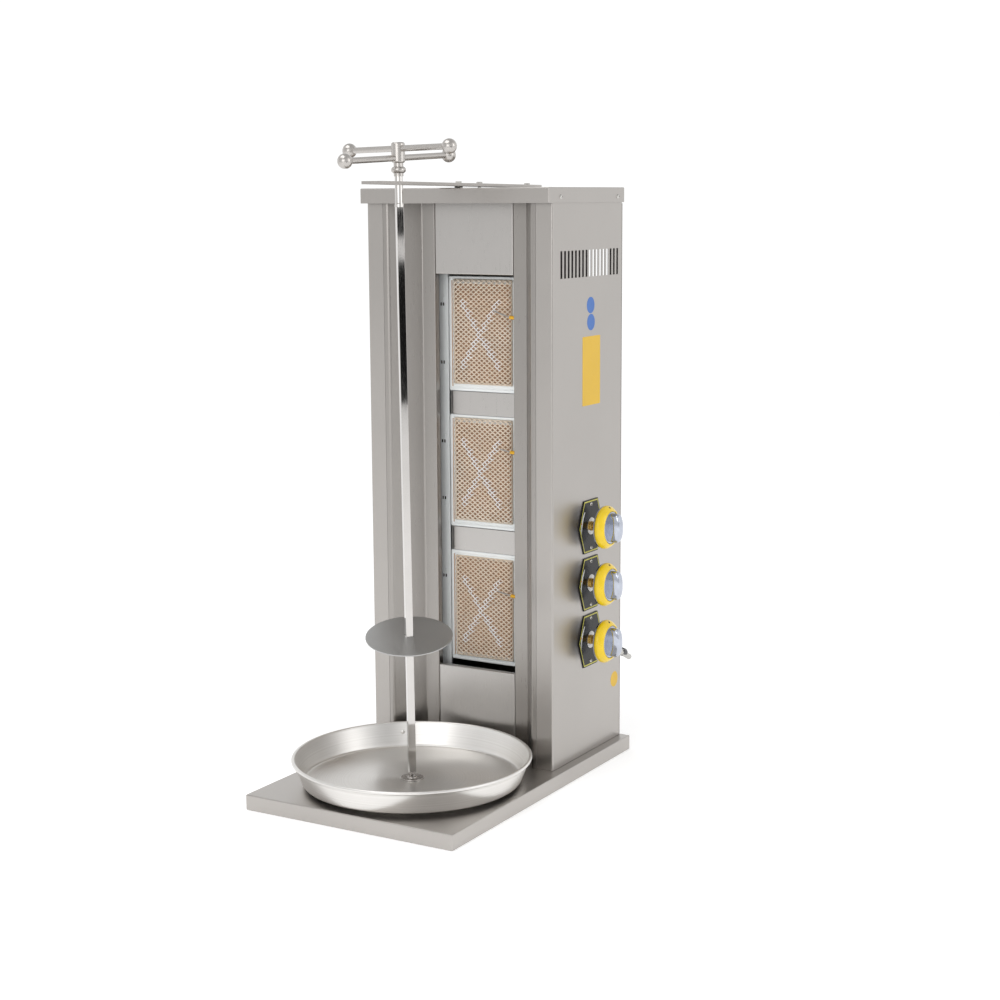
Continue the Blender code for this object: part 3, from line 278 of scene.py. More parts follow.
def sheet_steel(name, colour, roughness=0.33):
    """Satin stainless with upright grain, faint rolling clouds and a few scuffs."""
    made, tree, shader, paint = surface(
        name, colour, roughness, metallic=1.0, spread=0.030, rough_spread=0.03,
        stretch=(1, 1, 0.03), scale=900.0, cloud=3.2, bump=0.012, depth=0.00005)
    scuff = stretched_noise(tree, (1.0, 1.0, 2.2), 30.0, detail=6.0, roughness=0.75)
    worn = mixed(tree, ranged(tree, scuff, 0, 0.12, 0.68, 0.76), paint, scaled(colour, 1.35))
    tree.links.new(worn, shader.inputs["Base Color"])
    return made


def spun_metal(name, colour, roughness, anisotropy, ring_scale=620.0):
    """Metal turned on a lathe about its own upright axis: fine rings, fanned glints."""
    made, tree, shader, paint = surface(
        name, colour, roughness, metallic=1.0, spread=0.03, rough_spread=0.012,
        scale=40.0, cloud=9.0, bump=0.0, Anisotropic=anisotropy)
    place = add_node(tree, "ShaderNodeTexCoord").outputs["Object"]
    split = add_node(tree, "ShaderNodeSeparateXYZ", Vector=place)
    flat = add_node(tree, "ShaderNodeCombineXYZ", X=split.outputs["X"], Y=split.outputs["Y"])
    radius = add_node(tree, "ShaderNodeVectorMath", {"operation": "LENGTH"}, i0=flat.outputs[0])
    rings = add_node(tree, "ShaderNodeTexNoise", {"noise_dimensions": "1D"},
                     W=radius.outputs["Value"], Scale=ring_scale, Detail=3.0)
    groove = add_node(tree, "ShaderNodeBump", Strength=0.06, Distance=0.0001,
                      Height=rings.outputs["Fac"])
    tree.links.new(groove.outputs["Normal"], shader.inputs["Normal"])
    toned = mixed(tree, ranged(tree, rings.outputs["Fac"], 0, 1), scaled(colour, 0.90), (1, 1, 1))
    tree.links.new(mixed(tree, 0.35, paint, toned, "MULTIPLY"), shader.inputs["Base Color"])
    tangent = add_node(tree, "ShaderNodeTangent", {"direction_type": "RADIAL", "axis": "Z"})
    tree.links.new(tangent.outputs["Tangent"], shader.inputs["Tangent"])
    return made


def heated_mesh(name, colour, warmer):
    """Expanded metal tinted by heat, in drifting patches of two tones."""
    made, tree, shader, paint = surface(
        name, colour, 0.55, metallic=0.15, spread=0.08, scale=420.0, cloud=26.0,
        bump=0.25, depth=0.0003)
    tint = stretched_noise(tree, (1, 1, 1), 14.0, detail=2.0)
    warm = mixed(tree, ranged(tree, tint, 0, 0.7), paint, warmer)
    tree.links.new(warm, shader.inputs["Base Color"])
    return made


def fired_ceramic():
    """Matt tile with rows of fine ports, painted dark as the shade inside them."""
    colour = linear(206, 168, 136)
    made, tree, shader, paint = surface(
        "fired_ceramic", colour, 0.9, spread=0.10, scale=260.0, cloud=18.0, bump=0.3)
    place = add_node(tree, "ShaderNodeTexCoord").outputs["Object"]
    ports = add_node(tree, "ShaderNodeTexVoronoi", {"feature": "DISTANCE_TO_EDGE"},
                     Vector=place, Scale=420.0, Randomness=0.15)
    # painted shade: the ports are darkened in colour to stand in for the shade inside the holes
    dark = mixed(tree, ranged(tree, ports.outputs["Distance"], 1, 0, 0.20, 0.34),
                 scaled(colour, 0.55), paint)
    tree.links.new(dark, shader.inputs["Base Color"])
    return made


def sensor_finish():
    """Grey rod, brass sleeve where it crosses the burner's edge, then the copper lead."""
    made, tree, shader, paint = surface(
        "sensor_finish", linear(168, 165, 160), 0.32, metallic=0.9, scale=300.0)
    place = add_node(tree, "ShaderNodeTexCoord").outputs["Object"]
    across = add_node(tree, "ShaderNodeSeparateXYZ", Vector=place).outputs["X"]
    brass = linear(226, 176, 62)
    copper = linear(176, 112, 74)
    start, end = [ORIGIN.x + edge for edge in SENSOR_SLEEVE]
    sleeved = mixed(tree, ranged(tree, across, 0, 1, start, start + BLEND), paint, brass)
    leaded = mixed(tree, ranged(tree, across, 0, 1, end, end + BLEND), sleeved, copper)
    tree.links.new(leaded, shader.inputs["Base Color"])
    return made


STEEL = linear(178, 174, 170)
BRIGHT = linear(190, 186, 182)
FINISHES = {
    "cabinet_steel": sheet_steel("cabinet_steel", STEEL),
    "reflector_steel": sheet_steel("reflector_steel", linear(190, 187, 184), 0.30),
    "base_steel": sheet_steel("base_steel", linear(184, 180, 176), 0.34),
    "burner_steel": surface("burner_steel", linear(242, 245, 245), 0.42, metallic=0.15,
                            spread=0.03, scale=180.0, cloud=14.0, bump=0.06)[0],
    "mesh_wire": heated_mesh("heated_mesh", linear(240, 228, 212), linear(230, 208, 182)),
    "ceramic": fired_ceramic(),
    "sensor_metal": sensor_finish(),
    "aluminium_pan": spun_metal("aluminium_pan", linear(234, 232, 229), 0.30, 0.75),
    "spit_steel": surface("spit_steel", BRIGHT, 0.26, metallic=1.0, spread=0.03,
                          rough_spread=0.03, scale=300.0, cloud=22.0, bump=0.01,
                          depth=0.0001)[0],
    "disc_steel": surface("disc_steel", linear(184, 184, 183), 0.36, metallic=1.0, spread=0.04,
                          scale=240.0, cloud=12.0, bump=0.05, depth=0.0001)[0],
    "arm_steel": surface("arm_steel", linear(184, 180, 176), 0.34, metallic=1.0, spread=0.06,
                         stretch=(1, 0.04, 1), scale=700.0, cloud=8.0, bump=0.06,
                         depth=0.0001)[0],
    "bolt_steel": surface("bolt_steel", linear(196, 194, 190), 0.25, metallic=1.0, spread=0.08,
                          scale=500.0, cloud=60.0)[0],
    # painted shade: the spacer gets a darker grey than the other steel for its shaded place under the arm
    "spacer_steel": surface("spacer_steel", linear(128, 124, 120), 0.38, metallic=1.0,
                            spread=0.10, scale=500.0, cloud=60.0)[0],
    "valve_brass": surface("valve_brass", linear(214, 176, 96), 0.28, metallic=1.0,
                           spread=0.08, scale=400.0, cloud=50.0)[0],
    "gas_copper": surface("gas_copper", linear(196, 128, 92), 0.32, metallic=1.0, spread=0.10,
                          scale=300.0, cloud=24.0)[0],
    "plate_black": surface("plate_black", linear(16, 15, 16), 0.22, spread=0.25,
                           rough_spread=0.05, scale=220.0, cloud=30.0, bump=0.02,
                           Specular_IOR_Level=0.25)[0],
    "ring_yellow": surface("ring_yellow", linear(238, 203, 16), 0.30, spread=0.04, scale=500.0,
                           cloud=40.0, bump=0.05, Coat_Weight=0.3, Coat_Roughness=0.2)[0],
    # painted reflection: the chrome's strong drifting colour patches stand in for the dark and light things it
    # mirrors
    "knob_chrome": surface("knob_chrome", linear(188, 193, 205), 0.06, metallic=1.0,
                           spread=0.12, rough_spread=0.03, scale=90.0, cloud=55.0,
                           bump=0.01)[0],
}
# painted shade: a darker copy of the reflector steel for the slanted reflector wings
SHADED_WING = sheet_steel("wing_steel_painted_shade", linear(164, 160, 156), 0.30)
POLISHED = surface("polished_bar", linear(206, 203, 200), 0.06, metallic=1.0, spread=0.03,
                   rough_spread=0.02, stretch=(1, 1, 0.08), scale=500.0, cloud=22.0,
                   bump=0.01, depth=0.0001)[0]
OWN_FINISH = {"reflector_right": SHADED_WING, "reflector_left": SHADED_WING,
              "gas_inlet": FINISHES["bolt_steel"]}
# a paler copy of the heated mesh, for the cells on the crossed ridges
PALE_RIDGE_MESH = heated_mesh("pale_ridge_mesh", linear(255, 253, 250), linear(252, 246, 240))
PRINTS = {
    "print_yellow": surface("print_yellow", linear(196, 190, 70), 0.4, spread=0.06, scale=300.0)[0],
    "print_white": surface("print_white", linear(236, 236, 234), 0.4, spread=0.03, scale=300.0)[0],
    "print_orange": surface("print_orange", linear(226, 92, 42), 0.4, spread=0.06, scale=300.0)[0],
    "vinyl_yellow": surface("vinyl_yellow", linear(216, 174, 30), 0.36, spread=0.03,
                            scale=240.0, cloud=20.0, bump=0.03)[0],
    "vinyl_blue": surface("vinyl_blue", linear(52, 104, 178), 0.36, spread=0.05, scale=240.0,
                          cloud=24.0, bump=0.03)[0],
    # black for the knob rings' marks, and painted shade in the rail slots
    "black_mark_and_slot_shade": surface("black_mark_and_slot_shade", linear(24, 20, 16), 0.7, spread=0.2, scale=500.0)[0],
    "collar_grey": surface("collar_grey", linear(92, 92, 94), 0.4, metallic=0.8, spread=0.1,
                           scale=400.0, cloud=60.0)[0],
}


# ---------------------------------------------------------------- piece helpers
def new_piece(name, bm, finish, body, replaces=(), place=None, weighted=True):
    """Turns a bmesh into one named, smooth-shaded piece that rides on a body."""
    bmesh.ops.recalc_face_normals(bm, faces=bm.faces)
    for face in bm.faces:
        face.smooth = True
    for edge in bm.edges:
        if len(edge.link_faces) == 2 and edge.calc_face_angle() > SHARP:
            edge.smooth = False
    mesh = bpy.data.meshes.new(name)
    bm.to_mesh(mesh)
    bm.free()
    mesh.materials.append(finish)
    piece = bpy.data.objects.new(name, mesh)
    SCENE.collection.objects.link(piece)
    if place is not None:
        piece.matrix_world = place
    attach(piece, body)
    if replaces:
        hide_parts(*replaces)
    if weighted:
        normals = piece.modifiers.new("normals", "WEIGHTED_NORMAL")
        normals.weight = FACE_WEIGHT
        normals.keep_sharp = True
    return piece


def bridge(bm, first, second):
    """Quads between two closed rings; a ring of one vertex makes a fan."""
    count = max(len(first), len(second))
    for index in range(count):
        after = (index + 1) % count
        corners = [first[index % len(first)], first[after % len(first)],
                   second[after % len(second)], second[index % len(second)]]
        unique = list(dict.fromkeys(corners))
        if len(unique) > 2:
            bm.faces.new(unique)


def lathe(bm, profile, segments, closed=False, matrix=None):
    """Adds a solid of revolution about local Z; profile points are (radius, height)."""
    matrix = matrix or Matrix.Identity(4)
    rings = []
    for radius, height in profile:
        if radius < 1e-7:
            rings.append([bm.verts.new(matrix @ Vector((0, 0, height)))])
            continue
        turn = [2 * math.pi * step / segments for step in range(segments)]
        rings.append([bm.verts.new(matrix @ Vector((radius * math.cos(a), radius * math.sin(a), height)))
                      for a in turn])
    pairs = list(zip(rings, rings[1:]))
    if closed:
        pairs.append((rings[-1], rings[0]))
    for first, second in pairs:
        bridge(bm, first, second)


def turned(name, profile, finish, body, place, segments=96, closed=False, replaces=()):
    bm = bmesh.new()
    lathe(bm, profile, segments, closed)
    return new_piece(name, bm, finish, body, replaces, place)


def arc(centre, radius, start, end, count):
    points = []
    for step in range(count + 1):
        angle = math.radians(start + (end - start) * step / count)
        points.append((centre[0] + radius * math.cos(angle), centre[1] + radius * math.sin(angle)))
    return points


def rounded_rectangle(half_x, half_z, radius, steps=6):
    points = []
    for turn, (side_x, side_z) in enumerate(((1, 1), (-1, 1), (-1, -1), (1, -1))):
        corner = (side_x * (half_x - radius), side_z * (half_z - radius))
        points += arc(corner, radius, 90 * turn, 90 * turn + 90, steps)
    return points


def slab(bm, outline, low, high, matrix):
    """A flat plate: outline in local X and Y, between two local heights."""
    lower = [bm.verts.new(matrix @ Vector((x, y, low))) for x, y in outline]
    upper = [bm.verts.new(matrix @ Vector((x, y, high))) for x, y in outline]
    bridge(bm, lower, upper)
    bm.faces.new(lower)
    bm.faces.new(upper)


def band(bm, outer, inner, low, high, matrix):
    """A flat ring-shaped plate between two outlines with as many points."""
    rings = [[bm.verts.new(matrix @ Vector((x, y, height))) for x, y in outline]
             for outline, height in ((outer, low), (outer, high), (inner, high), (inner, low))]
    for first, second in zip(rings, rings[1:] + rings[:1]):
        bridge(bm, first, second)


# -------------------------------------------------- finishes of the CAD's pieces
def dress_cad_nodes():
    """Every CAD piece gets its slot's finish, eased edges and clean shading."""
    for part in frame["record"]["subparts"]:
        node = NODES[part["node"]]
        finish = OWN_FINISH.get(part["node"], FINISHES[part["material_slot"]])
        node.material_slots[0].material = finish
        if "custom_normal" in node.data.attributes:
            node.data.attributes.remove(node.data.attributes["custom_normal"])
        for polygon in node.data.polygons:
            polygon.use_smooth = True
        weld = node.modifiers.new("weld", "WELD")
        weld.merge_threshold = 0.00001
        flats = node.modifiers.new("flats", "DECIMATE")
        flats.decimate_type = "DISSOLVE"
        flats.angle_limit = FLAT
        edges = node.modifiers.new("edges", "BEVEL")
        edges.width = EASE_OF_SLOT.get(part["material_slot"], EASE)
        edges.segments = 2
        edges.limit_method = "ANGLE"
        edges.angle_limit = SHARP
        edges.harden_normals = True
        normals = node.modifiers.new("normals", "WEIGHTED_NORMAL")
        normals.mode = "FACE_AREA"
        normals.weight = FACE_WEIGHT


# ----------------------------------------------------------------- pan and spit
def build_pan():
    low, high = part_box("drip_pan")
    centre = Vector(((low.x + high.x) / 2, (low.y + high.y) / 2, 0))
    rim = (high.x - low.x) / 2
    rim_z = high.z - PAN_BEAD
    floor = low.z
    wall = rim - PAN_BEAD * 1.6
    corner = (PAN_FLOOR_RADIUS, floor + PAN_CORNER)
    bead = (rim - PAN_BEAD, rim_z)
    profile = [(0, floor + PAN_SHEET)]
    profile += [(PAN_FLOOR_RADIUS * share, floor + PAN_SHEET) for share in (0.25, 0.5, 0.75)]
    profile += arc(corner, PAN_CORNER - PAN_SHEET, -90, PAN_WALL_SLOPE, 10)
    profile += [(wall - PAN_SHEET * 1.05, rim_z - PAN_BEAD * 0.6)]
    profile += arc(bead, PAN_BEAD, 160, -130, 20)
    profile += [(wall, rim_z - PAN_BEAD * 1.4)]
    profile += arc(corner, PAN_CORNER, PAN_WALL_SLOPE, -90, 10)
    profile += [(0, floor)]
    turned("spun_pan", profile, FINISHES["aluminium_pan"], "cabinet",
           Matrix.Translation(centre), segments=192, replaces=["drip_pan"])
    dimple = [(0.0, 0.0010), (0.0018, 0.0008), (0.0030, 0.0002), (0.0036, -0.0006), (0, -0.0006)]
    heading = math.radians(DIMPLE_HEADING)
    out = Vector((math.cos(heading), math.sin(heading), 0))
    spot = centre + out * (wall - PAN_SHEET - 0.0062) + Vector((0, 0, floor + DIMPLE_HEIGHT))
    turned("pan_dimple", dimple, FINISHES["aluminium_pan"], "cabinet",
           aimed(spot, -out), segments=24)


def build_socket():
    low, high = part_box("spit_socket")
    radius = (high.x - low.x) / 2
    centre = Matrix.Translation(((low.x + high.x) / 2, (low.y + high.y) / 2, low.z))
    top = SOCKET_THICK
    profile = [
        (0, 0.0012), (SOCKET_HOLE * 0.6, 0.0016), (SOCKET_HOLE, top + 0.0010),
        (SOCKET_HOLE + 0.0008, top + 0.0016), (SOCKET_BOSS - 0.0015, top + 0.0014),
        (SOCKET_BOSS - 0.0004, top + 0.0008), (SOCKET_BOSS, top),
        (radius - 0.0010, top), (radius - 0.0003, top - 0.0003), (radius, top - 0.0010),
        (radius, 0), (0, 0),
    ]
    turned("socket_plate", profile, FINISHES["spit_steel"], "cabinet", centre,
           segments=72, replaces=["spit_socket"])


def spit_frame():
    """The spit's own frame: its foot is the origin and its axis is local Z."""
    joint = JOINTS["spit_spin"]
    turn = Vector((0, 0, 1)).rotation_difference(Vector(joint["axis"]))
    return Matrix.Translation(joint["pos_m"]) @ turn.to_matrix().to_4x4()


def build_spit_rod(place):
    bm = bmesh.new()
    outline = rounded_rectangle(BAR_HALF, BAR_HALF, BAR_EDGE, steps=3)
    turn = Matrix.Rotation(math.radians(45), 4, "Z")
    levels = ((0.10, 0.0), (0.22, 0.0004), (0.93, BAR_TIP - 0.0014), (1.0, BAR_TIP), (1.0, BAR_TOP))
    rings = [[bm.verts.new(turn @ Vector((x * share, y * share, height))) for x, y in outline]
             for share, height in levels]
    for first, second in zip(rings, rings[1:]):
        bridge(bm, first, second)
    bm.faces.new(rings[0])
    bm.faces.new(rings[-1])
    reach = BAR_HALF * math.sqrt(2) - BAR_EDGE
    lathe(bm, [(0, BAR_TOP - 0.004), (reach - 0.0002, BAR_TOP - 0.004), (reach - 0.0002, BAR_TOP),
               (JOURNAL + 0.0002, BAR_TOP + 0.0022), (JOURNAL, BAR_TOP + 0.0028),
               (JOURNAL, JOURNAL_TOP), (0, JOURNAL_TOP)], 64)
    new_piece("spit_bar", bm, POLISHED, "spit", ["spit_rod"], place)


def build_hub(place):
    low, high = HUB_SPAN
    profile = [(0, high), (HUB_RADIUS - 0.0040, high)]
    profile += arc((HUB_RADIUS - 0.0034, high - 0.0034), 0.0034, 90, 0, 6)
    profile += arc((HUB_RADIUS - 0.0024, low + 0.0024), 0.0024, 0, -70, 4)
    profile += [(HUB_NECK, low - 0.0008), (HUB_NECK, BEAD_HEIGHT + BEAD_ROUND + 0.0012)]
    profile += arc((BEAD_RADIUS - BEAD_ROUND, BEAD_HEIGHT), BEAD_ROUND, 78, -78, 12)
    profile += [(HUB_NECK, BEAD_HEIGHT - BEAD_ROUND - 0.0012), (HUB_NECK, JOURNAL_TOP),
                (0, JOURNAL_TOP)]
    turned("spit_head", profile, FINISHES["spit_steel"], "spit", place,
           segments=72, replaces=["spit_hub"])


def long_axis(node):
    """The middle of a long straight node, and the direction it runs in."""
    points = [vertex.co for vertex in NODES[node].data.vertices]
    centre = middle(node)
    first = max(points, key=lambda point: (point - centre).length)
    second = max(points, key=lambda point: (point - first).length)
    return (first + second) / 2, (first - second).normalized()


def build_handles():
    contact = math.degrees(math.asin(HANDLE_ROD / HANDLE_BALL))
    profile = [(0, HANDLE_HALF + HANDLE_BALL)]
    profile += arc((0, HANDLE_HALF), HANDLE_BALL, 84, contact - 90, 16)
    profile += [(HANDLE_ROD, HANDLE_HALF - HANDLE_STUB), (HANDLE_ROD, HANDLE_STUB - HANDLE_HALF)]
    profile += arc((0, -HANDLE_HALF), HANDLE_BALL, 90 - contact, -84, 16)
    profile += [(0, -HANDLE_HALF - HANDLE_BALL)]
    for node in ("handle_rod_upper", "handle_rod_lower"):
        turned(node.replace("rod", "bar"), profile, FINISHES["spit_steel"], "spit",
               aimed(*long_axis(node)), segments=56, replaces=[node])


# --------------------------------------------------------------------- controls
def control_frame(number):
    """Local Z runs out along the control's axis, local -X is up."""
    place = JOINTS[f"control_{number}_turn"]["pos_m"]
    return Matrix.Translation(place) @ Matrix.Rotation(math.pi / 2, 4, "Y")


def grip_width(along):
    ends, centre = GRIP_HALF_WIDTH
    width = ends + (centre - ends) * (1 - along ** 2)
    beyond = max(0.0, (abs(along) - GRIP_END) / (1 - GRIP_END))
    return width * math.sqrt(max(0.0, 1 - beyond ** 2))


def add_grip(bm):
    """Finger grip across the knob, crowned, with rounded ends."""
    foot = KNOB_FACE - 0.0010
    section = list(GRIP_SECTION)
    section += [(-share, rise) for share, rise in reversed(GRIP_SECTION[:-1])]
    rows = []
    for step in range(GRIP_STATIONS + 1):
        along = -math.cos(math.pi * step / GRIP_STATIONS)
        crown = KNOB_FRONT - GRIP_CROWN * abs(along) ** 2.6
        width = grip_width(along)
        row = []
        for share, rise in section:
            x = along * GRIP_HALF_LENGTH * (1 - 0.07 * rise ** 5)
            row.append(bm.verts.new((x, share * width, foot + (crown - foot) * rise)))
        rows.append(row)
    for first, second in zip(rows, rows[1:]):
        bridge(bm, first, second)
    for row in (rows[0], rows[-1]):
        bmesh.ops.pointmerge(bm, verts=[row[0], row[-1]], merge_co=row[0].co)


def build_knob(number):
    place = control_frame(number)
    body = f"knob_body_{number}"
    bm = bmesh.new()
    skirt = [(0, KNOB_FACE), (KNOB_SKIRT - 0.0014, KNOB_FACE),
             (KNOB_SKIRT - 0.0004, KNOB_FACE - 0.0004), (KNOB_SKIRT, KNOB_FACE - 0.0014),
             (KNOB_SKIRT, KNOB_BACK_PROFILE[0][1])]
    lathe(bm, skirt + list(KNOB_BACK_PROFILE), 96)
    add_grip(bm)
    bmesh.ops.remove_doubles(bm, verts=bm.verts, dist=0.000002)
    new_piece(f"bar_knob_{number}", bm, FINISHES["knob_chrome"], body,
              [f"knob_{number}"], place)
    turned(f"yellow_ring_{number}", RING_PROFILE, FINISHES["ring_yellow"], body,
           place, closed=True, replaces=[f"knob_ring_{number}"])
    facing = Vector((-math.sin(RING_MARK_TILT), 0, math.cos(RING_MARK_TILT)))
    mark = [(0, 0.0001), (0.0019, 0.0001), (0.0021, -0.0006), (0, -0.0006)]
    turned(f"ring_mark_{number}", mark, PRINTS["black_mark_and_slot_shade"], body,
           aimed(place @ Vector(RING_MARK), place.to_3x3() @ facing), segments=28)


def plate_outline(inset):
    """Six-sided outline of a control plate, moved in by inset."""
    shrink = 1 - inset / PLATE_REACH
    corners = [(x * shrink, y * shrink) for x, y in PLATE_CORNERS]
    return corners + [(-x, -y) for x, y in corners]


def crescent(radius, start, end, thickness, count=18):
    """A tapered arc, as its closed outline."""
    outer = arc((0, 0), radius, start, end, count)
    inner = []
    for step, (x, y) in enumerate(outer):
        share = 1 - thickness / radius * math.sin(math.pi * (0.12 + 0.86 * step / count))
        inner.append((x * share, y * share))
    return outer + inner[::-1]


def build_plate_details(number):
    place = control_frame(number)
    printed = PLATE_FACE + LIFT
    start, end = PLATE_LINE
    marks = {
        "plate_line": ("print_yellow", (plate_outline(start), plate_outline(end))),
        "plate_arc": ("print_white", (crescent(0.0362, -140, -72, 0.0042),)),
        "plate_dot": ("print_white", (arc((0.0030, -0.0392), 0.0011, 0, 345, 18),)),
        "plate_flame": ("print_orange", (arc((-0.0085, -0.0352), 0.0015, 0, 345, 14),)),
    }
    for name, (finish, outlines) in marks.items():
        bm = bmesh.new()
        shape = band if len(outlines) == 2 else slab
        shape(bm, *outlines, printed - FILM, printed + LIFT, place)
        new_piece(f"{name}_{number}", bm, PRINTS[finish], "cabinet")
    screw = [(0, 0.0012), (0.0008, 0.0011), (0.0010, 0.0020), (0.0020, 0.0018), (0.0028, 0.0010),
             (0.0031, 0.0), (0, 0)]
    for end_name, side in (("top", -1), ("bottom", 1)):
        spot = place @ Matrix.Translation((side * PLATE_SCREW, 0, PLATE_FACE))
        turned(f"plate_screw_{end_name}_{number}", screw, FINISHES["bolt_steel"], "cabinet",
               spot, segments=28)
    washer = [(NECK + 0.0002, 0.0), (WASHER, 0.0), (WASHER, 0.0007), (WASHER - 0.0004, 0.0011),
              (NECK + 0.0006, 0.0011), (NECK + 0.0002, 0.0007)]
    turned(f"neck_washer_{number}", washer, FINISHES["bolt_steel"], "cabinet",
           place @ Matrix.Translation((0, 0, PLATE_FACE)), segments=64, closed=True)


# ---------------------------------------------------------------------- burners
def fold_back(distance, half, depth):
    """Where a point of the flat guard lands once its edges are folded back.

    Returns the place across and how far back it lies.
    """
    flat = half - GUARD_FOLD
    side = math.copysign(1, distance)
    beyond = abs(distance) - flat
    if beyond <= 0:
        return distance, 0.0
    quarter = GUARD_FOLD * math.pi / 2
    if beyond < quarter:
        angle = beyond / GUARD_FOLD
        return side * (flat + GUARD_FOLD * math.sin(angle)), GUARD_FOLD * (1 - math.cos(angle))
    return side * half, min(depth, GUARD_FOLD + beyond - quarter)


def crease(across, up, half_x, half_z):
    """Height of the two crossed pressed ridges."""
    (left, right), (top, bottom) = CREASE_SPAN
    x_low, x_high = (2 * left - 1) * half_x, (2 * right - 1) * half_x
    z_high, z_low = (2 * top - 1) * half_z, (2 * bottom - 1) * half_z
    rise = 0.0
    for start, end in (((x_low, z_low), (x_high, z_high)), ((x_low, z_high), (x_high, z_low))):
        start, end = Vector(start), Vector(end)
        run = end - start
        share = min(1.0, max(0.0, (Vector((across, up)) - start).dot(run) / run.length_squared))
        distance = (Vector((across, up)) - start - run * share).length
        rise = max(rise, 1 - distance / CREASE_REACH)
    return CREASE_RISE * max(0.0, rise)


def build_guard(number):
    """Expanded metal: a sheet of diamond cells folded back at its four edges."""
    low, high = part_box(f"burner_mesh_{number}")
    centre = (low + high) / 2
    half_x = (high.x - low.x) / 2 - GUARD_STRAND / 2
    half_z = (high.z - low.z) / 2 - GUARD_STRAND / 2
    depth = high.y - low.y - GUARD_STRAND
    cell_x = 2 * half_x / GUARD_COLUMNS
    cell_z = 2 * half_z / GUARD_ROWS
    bm = bmesh.new()
    verts = {}

    def corner(column, row):
        """Vertex at half-cell steps from the guard's middle."""
        if (column, row) not in verts:
            flat_x = column * cell_x / 2
            flat_z = row * cell_z / 2
            x, back_x = fold_back(flat_x, half_x, depth)
            z, back_z = fold_back(flat_z, half_z, depth)
            rise = crease(x, z, half_x, half_z) if max(back_x, back_z) == 0 else 0.0
            y = low.y + GUARD_STRAND / 2 + max(back_x, back_z) + CREASE_RISE - rise
            y = min(y, high.y - GUARD_BACK)
            verts[column, row] = bm.verts.new((centre.x + x, y, centre.z + z))
        return verts[column, row]

    reach_x = GUARD_COLUMNS + 2
    reach_z = GUARD_ROWS + 2
    for column in range(-reach_x, reach_x + 1):
        for row in range(-reach_z, reach_z + 1):
            if (column + row) % 2 == GUARD_COLUMNS % 2:
                continue
            if abs(column) > GUARD_COLUMNS and abs(row) > GUARD_ROWS:
                continue
            if abs(column) + 1 > reach_x or abs(row) + 1 > reach_z:
                continue
            bm.faces.new((corner(column - 1, row), corner(column, row - 1),
                          corner(column + 1, row), corner(column, row + 1)))
    guard = new_piece(f"guard_{number}", bm, FINISHES["mesh_wire"], "cabinet",
                      [f"burner_mesh_{number}"], weighted=False)
    guard.data.materials.append(PALE_RIDGE_MESH)
    for polygon in guard.data.polygons:
        offset = polygon.center - centre
        if crease(offset.x, offset.z, half_x, half_z) > CREASE_RISE * CREASE_PALE:
            polygon.material_index = 1
    strands = guard.modifiers.new("strands", "WIREFRAME")
    strands.thickness = GUARD_STRAND
    strands.use_even_offset = False
    strands.use_boundary = True
    strands.use_replace = True


def rectangle_sweep(bm, centre, half_x, half_z, profile, corner):
    """Sweeps a closed profile round a rectangle; its points are (inset, y)."""
    rings = []
    for inset, y in profile:
        radius = max(corner - inset, 0.0008)
        outline = rounded_rectangle(half_x - inset, half_z - inset, radius, steps=4)
        rings.append([bm.verts.new((centre.x + x, y, centre.z + z)) for x, z in outline])
    for first, second in zip(rings, rings[1:] + rings[:1]):
        bridge(bm, first, second)


def build_burner_frame(number):
    """Pressed frame: rolled outer edge, a groove, and the flat rim round the guard."""
    low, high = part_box(f"burner_frame_{number}")
    front = low.y
    sheet = FRAME_SHEET
    face = [
        (0.0, high.y), (0.0, front + 0.0016), (0.0005, front + 0.0005), (0.0016, front),
        (0.0042, front), (0.0050, front + 0.0003), (0.0056, front + 0.0012),
        (0.0064, front + 0.0016), (0.0072, front + 0.0012), (0.0078, front + 0.0004),
        (0.0086, front + 0.0002), (0.0128, front + 0.0002), (0.0134, front + 0.0008),
        (0.0136, front + 0.0040),
    ]
    back = [(max(inset + sheet * 0.2, sheet), min(y + sheet, high.y)) for inset, y in face[1:-1]]
    profile = face + [(0.0129, front + 0.0040)] + back[::-1] + [(sheet, high.y)]
    bm = bmesh.new()
    rectangle_sweep(bm, (low + high) / 2, (high.x - low.x) / 2, (high.z - low.z) / 2, profile,
                    0.0030)
    new_piece(f"pressed_frame_{number}", bm, FINISHES["burner_steel"], "cabinet",
              [f"burner_frame_{number}"])


def build_cover_strip(node):
    """Strip between two burners: a raised middle with a set-back edge on each side."""
    low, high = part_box(node)
    centre = (low.x + high.x) / 2
    half = (high.x - low.x) / 2
    front = low.y
    side = [(half, 0.0046), (half - 0.0052, 0.0046), (half - 0.0060, 0.0042),
            (half - 0.0066, 0.0006), (half - 0.0074, 0.0)]
    section = side + [(-x, y) for x, y in side[::-1]]
    outline = [(centre + x, front + y) for x, y in section]
    outline += [(x, y + 0.0011) for x, y in outline[::-1]]
    bm = bmesh.new()
    rings = [[bm.verts.new((x, y, z)) for x, y in outline] for z in (low.z, high.z)]
    bridge(bm, *rings)
    count = len(section)
    for ring in rings:
        for index in range(count - 1):
            bm.faces.new((ring[index], ring[index + 1], ring[-index - 2], ring[-index - 1]))
    new_piece(node.replace("cover", "pressed"), bm, FINISHES["reflector_steel"], "cabinet",
              [node])


def build_rail_dimples():
    """Round pips pressed in the rails beyond each pair of slots."""
    pip = [(0, 0.0007), (0.0010, 0.0006), (0.0018, 0.0002), (0.0022, -0.0002), (0, -0.0002)]
    for number in BURNERS:
        height = middle(f"burner_frame_{number}").z
        for name in ("left", "right"):
            low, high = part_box(f"burner_rail_{name}")
            x = (low.x + high.x) / 2
            for offset, label in RAIL_PIPS:
                place = Matrix.Translation((x, low.y, height + offset)) @ TO_FRONT
                turned(f"rail_pip_{name}_{label}_{number}", pip, FINISHES["burner_steel"],
                       "cabinet", place, segments=20)


